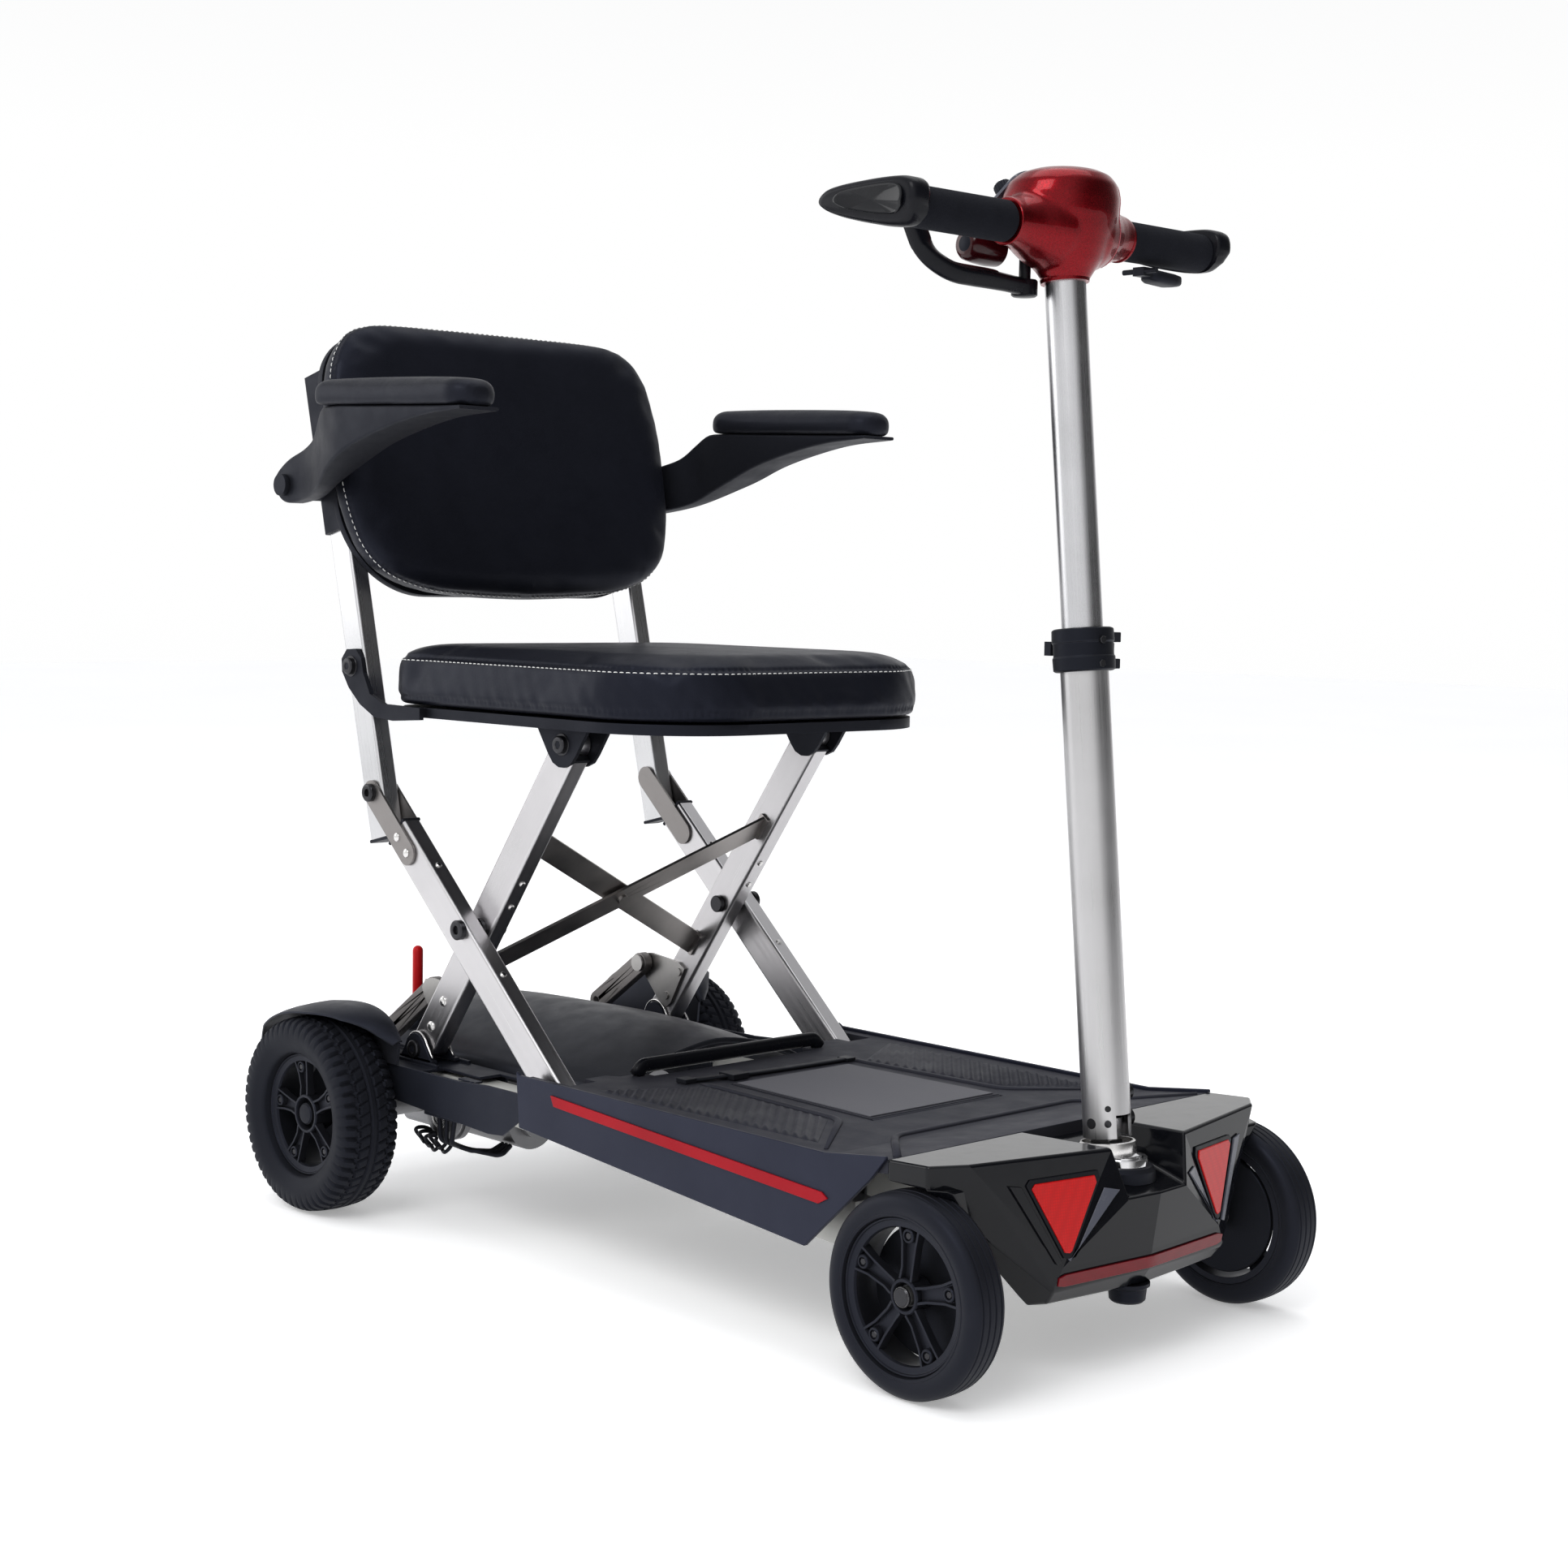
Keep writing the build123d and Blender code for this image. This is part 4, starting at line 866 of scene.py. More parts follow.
def crease(o, pts, width, depth, also=None):
    """press a seam (points in metres) into the skin"""
    from mathutils.kdtree import KDTree
    kd = KDTree(len(pts))
    for i, p in enumerate(pts):
        kd.insert(p, i)
    kd.balance()
    me = o.data
    co = coords_of(me)
    nn = [v.normal.copy() for v in me.vertices]
    w, dep = width * 0.001, depth * 0.001
    for i, c in enumerate(co):
        _, _, dist = kd.find(Vector(c))
        if dist < 3 * w:
            k = math.exp(-(dist / w) ** 2)
            co[i] = c - np.array(nn[i]) * dep * k
    put_coords(me, co)


def trace(o, rays):
    """where rays (point, direction) meet the skin, in metres, with normals"""
    dg = bpy.context.evaluated_depsgraph_get()
    tree = BVHTree.FromObject(o, dg)
    out = []
    for p, d in rays:
        h, n, _, _ = tree.ray_cast(p, d)
        if h is not None:
            out.append((h, n))
    return out


def stitches(name, hits, body, pitch=6.6, length=4.4, r=0.55, lift=0.25, mat="thread"):
    """short thread strokes along a traced seam"""
    pts = [h for h, _ in hits]
    nrm = [n for _, n in hits]
    s = [0.0]
    for a, b in zip(pts, pts[1:]):
        s.append(s[-1] + (b - a).length * 1000)

    def at(t):
        i = max(0, min(len(s) - 2, int(np.searchsorted(s, t)) - 1))
        k = 0 if s[i + 1] == s[i] else (t - s[i]) / (s[i + 1] - s[i])
        return pts[i].lerp(pts[i + 1], k), nrm[i].lerp(nrm[i + 1], k).normalized()
    bm = bmesh.new()
    t = pitch
    while t + length < s[-1]:
        rings_ = []
        for q, k, up_ in ((0.0, 0.45, -0.25), (0.22, 1.0, 0.15), (0.5, 1.0, 0.3), (0.78, 1.0, 0.15), (1.0, 0.45, -0.25)):
            p, n = at(t + length * q)
            p2, _ = at(t + length * q + 0.3)
            tan = (p2 - p).normalized() if (p2 - p).length > 1e-7 else Vector((1, 0, 0))
            side = tan.cross(n).normalized()
            c = p + n * (lift + up_) * 0.001
            rings_.append([bm.verts.new(c + (side * math.cos(a) + n * math.sin(a)) * r * k * 0.001) for a in
                           [math.pi / 3 * j for j in range(6)]])
        for a, b in zip(rings_, rings_[1:]):
            for j in range(6):
                bm.faces.new((a[j], a[(j + 1) % 6], b[(j + 1) % 6], b[j]))
        bm.faces.new(list(reversed(rings_[0])))
        bm.faces.new(rings_[-1])
        t += pitch
    bmesh.ops.recalc_face_normals(bm, faces=bm.faces)
    me = bpy.data.meshes.new(name)
    bm.to_mesh(me)
    bm.free()
    o = bpy.data.objects.new(name, me)
    COL.objects.link(o)
    return dress(o, mat, body, sharp=0)


def seam_hits(o, path, step=2.0):
    """path: list of (outside point, inside point) in mm"""
    rays = []
    for a, b in path:
        A, B = V(*a), V(*b)
        rays.append((A, (B - A).normalized()))
    return trace(o, rays)


# ------------------------------------------------------------------ seat cushion
def outline_mm(x0, x1, y0, y1, radii, z, k=14):
    return [(x, y, z) for x, y in round_rect(x0, x1, y0, y1, radii, k)]


cu = Mb()
rs_ = []
for z, ins in ((519.0, 9), (520.5, 4), (527, 1.5), (545, 1), (559, 1), (566, 3), (570.5, 8), (572.5, 15), (573.4, 40), (574, 90)):
    rs_.append(outline_mm(38 + ins, 477 - ins, -197 + ins, 197 - ins,
                          (max(112 - ins, 20), max(42 - ins * 0.5, 14), max(42 - ins * 0.5, 14), max(112 - ins, 20)), z))
cu.rings(rs_)
cushion = inflate("seat_cushion_skin", cu, 5.0, 3.6, 6.5, lambda c: 1.0 if c[2] < 0.522 else 0.0, frames=16, stiff=10.0, smooth_it=7)
ring = round_rect(38, 477, -197, 197, (112, 42, 42, 112), 26)
dense = []
for (x0, y0), (x1, y1) in zip(ring, ring[1:] + ring[:1]):
    n = max(1, int(math.hypot(x1 - x0, y1 - y0) / 4))
    dense += [(x0 + (x1 - x0) * j / n, y0 + (y1 - y0) * j / n) for j in range(n)]


def cushion_seam(z):
    path = []
    for x, y in dense:
        d = Vector((x - 257, y, 0)).normalized()
        if abs(y) > 196 and 84 < x < 360:
            d = Vector((0, math.copysign(1, y), 0))
        path.append(((x + d.x * 25, y + d.y * 25, z), (x - d.x * 25, y - d.y * 25, z)))
    return path


hits = seam_hits(cushion, cushion_seam(567.0))
crease(cushion, [h for h, _ in hits], 2.4, 2.0)
hits = seam_hits(cushion, cushion_seam(527.0))
crease(cushion, [h for h, _ in hits], 2.6, 1.6)
if FULL:
    # soft wrinkles low on the sides, where the cover is pulled under
    me = cushion.data
    co = coords_of(me)
    nn = np.zeros(len(me.vertices) * 3)
    me.vertices.foreach_get("normal", nn)
    nn = nn.reshape(-1, 3)
    t = np.arctan2(co[:, 1], co[:, 0] - (AXLE_X + 0.257))
    z = co[:, 2]
    amp = np.exp(-((z - 0.533) / 0.010) ** 2) * 0.00045 + np.exp(-((z - 0.556) / 0.012) ** 2) * 0.0002
    wob = np.sin(t * 37 + 2.1 * np.sin(t * 5)) * np.sin(t * 11 + z * 160) + 0.5 * np.sin(t * 71 + z * 240)
    side = 1 - np.abs(nn[:, 2])
    put_coords(me, co + nn * (amp * wob * side)[:, None])
dress(cushion, "vinyl", "seat", rep=("seat_cushion",), slot="vinyl", sharp=0)
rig.padded(cushion, 0.9)
hits = [h for h in seam_hits(cushion, cushion_seam(563.2))]
first = next((i for i, (p, _) in enumerate(hits) if p.x < V(60, 0, 0).x and p.y > 0.15), 0)
hits = hits[first:] + hits[:first]
last = len(hits)
stitches("cushion_stitch", hits[:last], "seat")
# piping along the rear top edge
pip = Mb()
pp = [h for h, _ in seam_hits(cushion, [((30, y, 572), (90, y, 566)) for y in range(-150, 151, 6)])]
if len(pp) > 8:
    pip.tube([((p.x - AXLE_X) * 1000 - 0.4, p.y * 1000, p.z * 1000 + 0.6) for p in pp], 2.0, 10)
    pip.obj("cushion_piping", "vinyl", "seat", sharp=0)

# ------------------------------------------------------------------ back pad
_pl = math.hypot(S[0] - P[0], S[1] - P[1])
pd = ((S[0] - P[0]) / _pl, (S[1] - P[1]) / _pl)
pn = (pd[1], -pd[0])


def bp3(y, s, n):
    return (S[0] + pd[0] * s + pn[0] * n, y, S[1] + pd[1] * s + pn[1] * n)


PAD_OUT = [(0, 61.5), (60, 63.5), (110, 67), (148, 75), (176, 88), (195, 108), (205, 132), (211, 160), (214.6, 205),
           (215.2, 250), (209.5, 292), (199, 318), (183, 336), (158, 346), (120, 350), (60, 351), (0, 351)]
half = [(p.x, p.y) for p in smooth_path([(y, s, 0) for y, s in PAD_OUT], 5)]
pad_ring = half + [(-y, s) for y, s in reversed(half[1:-1])]


def pad_at(ins, n):
    return [bp3(y * (1 - ins / 215), 206 + (s - 206) * (1 - ins / 145), n) for y, s in pad_ring]


pb = Mb()
pb.rings([pad_at(i, n) for i, n in ((10, 26.2), (4, 27.5), (0, 33), (-3, 45), (-3, 53), (0, 59), (7, 62.4), (18, 63.6), (60, 64.2), (110, 64.6))])


def pad_hold(c):
    x, z = (c[0] - AXLE_X) * 1000, c[2] * 1000
    n = (x - S[0]) * pn[0] + (z - S[1]) * pn[1]
    return 1.0 if n < 30 else 0.0


back = inflate("back_pad_skin", pb, 5.0, 3.6, 3.5, pad_hold, frames=16, stiff=10.0, smooth_it=9)


def pad_seam(n, ins=0.0):
    path = []
    ring_ = [(y * (1 - ins / 215), 206 + (s - 206) * (1 - ins / 145)) for y, s in pad_ring]
    for (y0, s0), (y1, s1) in zip(ring_, ring_[1:] + ring_[:1]):
        k = max(1, int(math.hypot(y1 - y0, s1 - s0) / 4))
        for j in range(k):
            y, s = y0 + (y1 - y0) * j / k, s0 + (s1 - s0) * j / k
            l = math.hypot(y, (s - 206) * 1.35)
            a, b = y / l, (s - 206) * 1.35 / l
            path.append((bp3(y + a * 25, s + b * 25, n), bp3(y - a * 25, s - b * 25, n)))
    return path


hits = seam_hits(back, pad_seam(52.0))
crease(back, [h for h, _ in hits], 2.2, 1.1)
dress(back, "vinyl", "backrest", rep=("back_pad",), slot="vinyl", sharp=0)
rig.padded(back, 0.85)
hits = seam_hits(back, pad_seam(48.5))
stitches("back_stitch", hits, "backrest")

# ------------------------------------------------------------------ armrest pads
for sg, nm in ((1, "left"), (-1, "right")):
    ab = Mb()
    tilt = math.radians(2.0)
    rs_ = []
    for z, ins in ((0.2, 6), (1.2, 2.5), (5, 0.8), (14, 0.6), (19, 2.5), (23, 7), (25, 13)):
        o_ = round_rect(ins, 252 - ins, -27.5 + ins, 27.5 - ins, [max(25 - ins, 8)] * 4, 8)
        rs_.append([(40 + x * math.cos(tilt) + z * math.sin(tilt), 260 * sg + y, 811.2 - x * math.sin(tilt) + z * math.cos(tilt))
                    for x, y in o_])
    ab.rings(rs_)
    pad_o = inflate("armrest_pad_" + nm + "_skin", ab, 3.2, 3.0, 2.6,
                    lambda c: 1.0 if c[2] < 0.8140 - (c[0] - AXLE_X - 0.04) * 0.035 else 0.0, frames=10, stiff=12.0, smooth_it=3)
    dress(pad_o, "armpad", "armrest_" + nm, rep=("armrest_pad_" + nm,), slot="foam", sharp=0)
    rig.padded(pad_o, 0.95)

# ------------------------------------------------------------------ tyres and rims
REARC, FRONTC = (0.0, 100.0), (808.0, 84.0)


def tyre_rear(nm, sg):
    NB, PER = 54, 12
    N = NB * PER
    th = np.linspace(0, 2 * math.pi, N, endpoint=False)
    u = list(np.linspace(-30, 30, 61))
    # crown height over the width, then the walls
    def crown(v):
        a = abs(v)
        return 99.6 - 0.0032 * a * a - (0.0 if a < 22 else 0.10 * (a - 22) ** 1.6)
    prof = [(v, crown(v), "t") for v in u]
    e = crown(30)
    wall = [(31.6, e - 3.0), (32.6, e - 7.0), (33.0, e - 12.0), (32.6, e - 17.0), (31.2, e - 21.0), (28.5, 67.0), (27.5, 64.5), (25.0, 62.4)]
    prof = [(-v, r, "w") for v, r in reversed(wall)] + prof + [(v, r, "w") for v, r in wall]
    uu = np.array([p[0] for p in prof])[:, None]
    rr = np.array([p[1] for p in prof])[:, None] * np.ones((1, N))
    T = th[None, :] * np.ones((len(prof), 1))
    block = 2 * math.pi / NB
    au = np.abs(uu)

    def band(x, c, w):
        return np.clip(1 - np.abs(x - c) / w, 0, 1) ** 0.6
    cut = np.zeros_like(rr)
    cut = np.maximum(cut, 2.2 * band(au, 4.0, 1.6))
    zig = 17.2 + 1.4 * np.sign(np.sin(T * NB + 0.6))
    cut = np.maximum(cut, 2.6 * band(au, zig, 1.7))
    ph = (T + np.sign(uu) * (au - 4) * 0.0042) / block
    fr = ph - np.floor(ph)
    sipe = np.clip(1 - np.abs(fr - 0.5) / 0.13, 0, 1) ** 0.5 * ((au > 4.6) & (au < 17.5))
    cut = np.maximum(cut, 2.4 * sipe)
    ph2 = T / block + 0.25
    fr2 = ph2 - np.floor(ph2)
    gap = np.clip(1 - np.abs(fr2 - 0.5) / 0.20, 0, 1) ** 0.5 * np.clip((au - 17.5) / 2.0, 0, 1) * (np.array([p[1] for p in prof])[:, None] > 84)
    cut = np.maximum(cut, 3.4 * gap)
    rr = rr - cut
    mb = Mb()
    x = REARC[0] + rr * np.cos(T)
    z = REARC[1] + rr * np.sin(T)
    y = (240.0 + uu * np.ones_like(T)) * sg
    K = len(prof)
    verts = np.stack([x, y, z], axis=2).transpose(1, 0, 2).reshape(-1, 3).tolist()
    inner = 61.9
    faces = []
    for i in range(N):
        a, b = i * K, ((i + 1) % N) * K
        for j in range(K):
            j2 = (j + 1) % K
            faces.append((a + j, a + j2, b + j2, b + j))
    mb.add(verts, faces)
    return mb.obj(nm, "tyre_rear", "wheel_rear_" + ("left" if sg > 0 else "right"), merge=False, sharp=50,
                  rep=("tyre_rear_" + ("left" if sg > 0 else "right"),), slot="tyre_rubber")


def tyre_front(nm, sg):
    prof = []
    for v in np.linspace(-17, 17, 69):
        a = abs(v)
        r = 83.7 - 0.004 * a * a - (0 if a < 12 else 0.16 * (a - 12) ** 1.7)
        for g in (-10.5, -3.5, 3.5, 10.5):
            r -= 1.5 * max(0.0, 1 - abs(v - g) / 0.9) ** 0.6
        prof.append((v, r))
    e = prof[-1][1]
    wall = [(18.4, e - 2.2), (19.4, e - 5.0), (19.7, e - 8.0), (19.3, 69.5), (18.6, 67.2), (18.9, 66.6), (18.2, 64.6), (16.5, 64.1)]
    prof = [(-v, r) for v, r in reversed(wall)] + prof + wall
    rs = []
    N = 160
    for i in range(N):
        t = 2 * math.pi * i / N
        rs.append([(FRONTC[0] + r * math.cos(t), (210 + v) * sg, FRONTC[1] + r * math.sin(t)) for v, r in prof])
    mb = Mb().loop(rs)
    return mb.obj(nm, "tyre_front", "wheel_front_" + ("left" if sg > 0 else "right"), merge=False, sharp=40,
                  rep=("tyre_front_" + ("left" if sg > 0 else "right"),), slot="tyre_rubber")


def ring_mb(mb, c, sg, prof, n=96):
    """closed ring from a cross-section (y, r) about the wheel axis"""
    rs = []
    for i in range(n):
        t = 2 * math.pi * i / n
        rs.append([(c[0] + r * math.cos(t), y * sg, c[1] + r * math.sin(t)) for y, r in prof])
    return mb.loop(rs)


def wheel_rim(nm, c, sg, face, back, r, hub, body, node_, top, bolt):
    mb = Mb()
    f = face
    ring_mb(mb, c, sg, [(back, r - 0.1), (f + 1.0, r - 0.1), (f + 2.0, r - 1.2), (f + 2.0, r - 2.4), (f + 0.4, r - 3.2), (f, r - 4.6),
                        (f - 0.5, r - 8.2), (f - 3.0, r - 9.4), (f - 9.0, r - 7.5), (back, r - 6.0)])
    ring_mb(mb, c, sg, [(f - 20, hub - 1), (f - 1.5, hub), (f, hub - 1.0), (f, hub - 3.2), (f - 2.0, hub - 4.2), (f - 20, hub - 4.2)], 64)
    ri = r - 8.8
    for k in range(5):
        a = math.radians(top + 72 * k)
        ca, sa = math.cos(a), math.sin(a)

        def q(rad, w, y):
            return (c[0] + rad * ca - w * sa, y * sg, c[1] + rad * sa + w * ca)
        for s_ in (1, -1):
            sec = []
            for rad, w in ((hub - 1.5, 6.0), (hub + 8, 5.6), (r - 22, 7.2), (ri + 1.0, 10.5)):
                w0, w1 = s_ * w - 1.15, s_ * w + 1.15
                lo = f - 9.5
                hi = f - 1.2 + (0.8 if rad < hub + 4 or rad > r - 14 else -0.6)
                sec.append([q(rad, w0, lo), q(rad, w1, lo), q(rad, w1, hi), q(rad, w0, hi)])
            mb.rings(sec)
        # recessed floor between the two ribs
        fl_ = []
        for rad, w in ((hub - 1.5, 5.6), (hub + 8, 5.0), (r - 22, 6.6), (ri + 1.0, 10.0)):
            fl_.append([q(rad, -w, f - 9.0), q(rad, w, f - 9.0), q(rad, w, f - 6.2), q(rad, -w, f - 6.2)])
        mb.rings(fl_)
        b0 = q(r - 14.5, 0, f - 8)
        mb.lathe(b0, (0, sg, 0), [(0, 6.2), (7.4, 6.0), (8.2, 5.2), (8.2, 3.9), (6.0, 3.7), (6.0, 0.05)], 28)
    o = mb.obj(nm, "rim", body, rep=(node_,), slot="dark_plastic", sharp=32, bevel=0.35, seg=2)
    sc = Mb()
    for k in range(5):
        a = math.radians(top + 72 * k)
        p_ = (c[0] + (r - 14.5) * math.cos(a), (f - 2.2) * sg, c[1] + (r - 14.5) * math.sin(a))
        sc.hexa(p_, (0, sg, 0), 5.2, 1.6, 0.3 * k)
    sc.obj(nm + "_screws", "bolt", body, sharp=25)
    if bolt:
        hb = Mb()
        hb.cyl((c[0], (f - 9) * sg, c[1]), (c[0], (f - 6) * sg, c[1]), 9.5, 32, e=0.8)
        hb.hexa((c[0], (f - 6) * sg, c[1]), (0, sg, 0), 13, 5.0)
        hb.cyl((c[0], (f - 1.0) * sg, c[1]), (c[0], (f + 3.2) * sg, c[1]), 8.6, 28, e=1.4)
        hb.obj(nm + "_nut", "bolt", body, sharp=25)
        dk = Mb().cyl((c[0], (f - 20) * sg, c[1]), (c[0], (f - 9) * sg, c[1]), hub - 3.0, 40)
        dk.obj(nm + "_bearing", "black", body, sharp=30)
    else:
        dk = Mb().cyl((c[0], (f - 24) * sg, c[1]), (c[0], (f - 12) * sg, c[1]), hub - 3.0, 40)
        dk.lathe((c[0], (f - 13) * sg, c[1]), (0, sg, 0), [(0, 11.5), (11.6, 11.0), (13.2, 9.6), (13.6, 7.0), (13.6, 0.1)], 36)
        dk.obj(nm + "_seal", "black", body, sharp=30)
    # brake drum or inner disc seen through the windows
    bd = Mb().cyl((c[0], (back + 2) * sg, c[1]), (c[0], (back + 8) * sg, c[1]), r - 10.5, 64, e=1.0)
    bd.obj(nm + "_disc", "black", body, sharp=30)
    return o


for sg, s_ in ((1, "left"), (-1, "right")):
    tyre_rear("tyre_rear_tread_" + s_, sg)
    tyre_front("tyre_front_tread_" + s_, sg)
    wheel_rim("rim_rear_spokes_" + s_, REARC, sg, 258.0, 214.0, 62.3, 20.0, "wheel_rear_" + s_, "rim_rear_" + s_, 100.0, False)
    wheel_rim("rim_front_spokes_" + s_, FRONTC, sg, 223.5, 192.0, 64.3, 15.0, "wheel_front_" + s_, "rim_front_" + s_, 86.0, True)

# ------------------------------------------------------------------ front cowl, lamps
def plane_x(A, B, C, y, z):
    A, B, C = Vector(A), Vector(B), Vector(C)
    n = (B - A).cross(C - A)
    return A.x - (n.y * (y - A.y) + n.z * (z - A.z)) / n.x


cw = Mb()
ca, cb, cc = (777, 50, 187.4), (777, 213, 187.6), (822, 214, 190)
cd, ce = (843, 188, 191.6), (874, 48, 190.6)
cf, cg, ch = (777, 42, 178), (885.5, 37, 149), (872, 104, 100)
ci, cj = (870, 113, 81), (860, 110, 68)
g0, h0, i0, j0, f0 = (888.5, 0, 149), (881, 0, 99), (879, 0, 83), (868, 0, 66), (777, 0, 178)
b2, c2, a2 = (777, 213, 171), (822, 213.5, 171), (777, 0, 171)
l_, l0, m_, m0 = (838, 110, 62), (838, 0, 60), (838, 204, 171), (838, 0, 171)
pts_ = dict(ca=ca, cb=cb, cc=cc, cd=cd, ce=ce, cf=cf, cg=cg, ch=ch, ci=ci, cj=cj, g0=g0, h0=h0, i0=i0, j0=j0, f0=f0,
            b2=b2, c2=c2, a2=a2, l_=l_, l0=l0, m_=m_, m0=m0)
fc = ["ca cb cc cd ce", "cb b2 c2 cc", "cc c2 ci cd", "c2 l_ cj ci", "b2 m_ c2", "b2 a2 m0 m_", "c2 m_ l_", "m_ m0 l0 l_",
      "l_ l0 j0 cj", "cj j0 i0 ci", "ci i0 h0 ch", "ch h0 g0 cg", "ce cd ch", "cd ci ch", "ce ch cg", "ca ce cg cf",
      "cf cg g0 f0", "ca cf f0 a2 b2 cb"]
names = list(pts_)
for sg in (1, -1):
    vs = [(x, y * sg, z) for x, y, z in pts_.values()]
    fs = [tuple(names.index(k) for k in f.split()) for f in fc]
    if sg < 0:
        fs = [tuple(reversed(f)) for f in fs]
    cw.add(vs, fs)
cw.obj("cowl_shell", "cowl", "chassis", rep=("front_cowl",), slot="gloss_black", sharp=0, smooth=False, bevel=2.6, seg=4)
ft = Mb()
ft.lathe((856, 0, 67), (0, 0, -1), [(0, 19), (3, 19), (5, 16.5), (15, 15.5), (17, 13.5)], 32)
ft.obj("cowl_foot", "black", "chassis", sharp=30)
cup = Mb()
cup.lathe((846, 0, 158), (0, 0, 1), [(0, 22.5), (12, 22.5), (14.0, 21.6), (14.0, 18.2), (11, 17.6), (11, 12)], 48)
cup.obj("stem_seat_ring", "chrome", "chassis", sharp=30)
bt = Mb()
bt.lathe((846, 0, 153), (0, 0, 1), [(0, 29), (9, 28.5), (12.5, 26), (13.2, 23.0)], 48)
bt.obj("stem_seat_base", "black", "chassis", sharp=30)


def facet_plate(name, mat, yz, A, B, C, t, both=(1, -1), rep=(), slot_=None, base=0.25, bevel=0.5):
    """thin plate lying on the plane through A, B, C"""
    mb = Mb()
    n = (Vector(B) - Vector(A)).cross(Vector(C) - Vector(A)).normalized()
    if n.x < 0:
        n = -n
    for sg in both:
        lo = [Vector((plane_x(A, B, C, y, z), y, z)) + n * base for y, z in yz]
        hi = [p + n * t for p in lo]
        f = lambda q: [(p.x, p.y * sg, p.z) for p in q]
        mb.rings([f(lo), f(hi)])
    return mb.obj(name, mat, "chassis", rep=rep, slot=slot_, sharp=25, bevel=bevel, seg=2)


LENS = [(69, 171), (128, 170), (131.5, 166), (103, 112), (98, 111), (95.5, 113), (67.5, 165)]
cen = (sum(p[0] for p in LENS) / len(LENS), sum(p[1] for p in LENS) / len(LENS))
grow = lambda pts, k: [(cen[0] + (y - cen[0]) * k, cen[1] + (z - cen[1]) * k) for y, z in pts]
facet_plate("lens_frame", "gloss_soft", grow(LENS, 1.14), ce, cd, ch, 1.4, rep=("lamp_bezels",), bevel=0.6)
facet_plate("lens_face", "lens", LENS, ce, cd, ch, 2.6, rep=("lamp_lenses",), slot_="lens_red", bevel=0.8)
facet_plate("lens_strip_inner", "bezel", [(60, 160), (46, 157), (97.5, 104.5), (100, 106.5), (93, 108)], ce, ch, cg, 1.3, bevel=0.5)
# the two outer strips are one part in two colours: the paler grey of the left strip is a painted reflection, the right
# strip keeps the black cowl gloss
facet_plate("lens_strip_outer_left", "bezel", [(141, 169), (153, 171), (111, 103), (106, 105)], ce, cd, ch, 2.0, both=(1,), bevel=0.5)
facet_plate("lens_strip_outer_right", "cowl", [(141, 169), (153, 171), (111, 103), (106, 105)], ce, cd, ch, 2.0, both=(-1,), bevel=0.5)
chin = Mb()
n_ = 14
for sg in (1,):
    rs = []
    for i in range(n_ * 2 + 1):
        y = -109 + 218 * i / (2 * n_)
        k = abs(y) / 113
        x = 880.0 + 1.2 - 10.0 * k
        xt, xb = x + 0.35, x - 1.2
        zt, zb = 94.0 + 0.0 * k, 83.5
        if abs(y) > 104:
            zt, zb = 92.0, 85.0
        rs.append([(xb - 2, y, zb), (xb + 1.0, y, zb), (xt + 1.0, y, zt), (xt - 2, y, zt)])
    chin.rings(rs)
chin.obj("chin_strip", "lens_dark", "chassis", sharp=30, bevel=0.5)

# ------------------------------------------------------------------ deck
src = frame["nodes"]["deck_panel"]
me = src.data.copy()
co = coords_of(me)
sel = (co[:, 2] > 0.17803) & (co[:, 2] < 0.1806) & (co[:, 0] < V(660, 0, 0).x)
co[sel, 2] = 0.178
put_coords(me, co)
bm = bmesh.new()
bm.from_mesh(me)
bmesh.ops.remove_doubles(bm, verts=bm.verts, dist=2e-6)
bmesh.ops.dissolve_degenerate(bm, edges=bm.edges, dist=2e-6)
bmesh.ops.dissolve_limit(bm, angle_limit=math.radians(0.6), verts=bm.verts, edges=bm.edges)
bmesh.ops.recalc_face_normals(bm, faces=bm.faces)
me2 = bpy.data.meshes.new("deck_moulding")
bm.to_mesh(me2)
bm.free()
dk = bpy.data.objects.new("deck_moulding", me2)
COL.objects.link(dk)
dress(dk, "deck", "chassis", rep=("deck_panel",), slot="dark_plastic", sharp=20, bevel=1.0, seg=2)

for sg, nm in ((1, "left"), (-1, "right")):
    RO, RI, IF, FO = Vector((388, 193)), Vector((440, 104)), Vector((609, 114)), Vector((668, 184))
    rs = []
    NS = 250
    TS = [0.0, 0.012, 0.03, 0.06] + [0.06 + 0.88 * j / 34 for j in range(1, 34)] + [0.94, 0.97, 0.988, 1.0]
    for i in range(NS + 1):
        s = i / NS
        a, b = RI.lerp(IF, s), RO.lerp(FO, s)
        fade = min(1.0, s / 0.03, (1 - s) / 0.03)
        row = [(a.x, a.y * sg, 177.6)]
        for t in TS:
            e = min(1.0, t / 0.06, (1 - t) / 0.06)
            p = a.lerp(b, t)
            w = 0.5 + 0.5 * math.cos(2 * math.pi * (p.x * 0.73 + p.y * sg * 0.68) / 9.0)
            h = 0.4 + 2.2 * (w ** 1.2) * fade
            row.append((p.x, p.y * sg, 178.05 + h * math.sin(e * math.pi / 2)))
        row.append((b.x, b.y * sg, 177.6))
        rs.append(row)
    cr = Mb().rings(rs)
    cr.obj("deck_grip_" + nm, "deck_rib", "chassis", sharp=0)
    rd = Mb()
    p = arc_path([(424, 99 * sg, 178.2), (445, 97.5 * sg, 178.2), (617, 107 * sg, 178.2), (690, 196 * sg, 178.2)], 14)
    sc_ = [0.3] + [1.0] * (len(p) - 2) + [0.5]
    rd.sweep(p, oval(7.5, 4.6, 16, 2.2), scale=sc_)
    rd.obj("deck_ridge_" + nm, "deck_rib", "chassis", sharp=0)
fr = Mb()
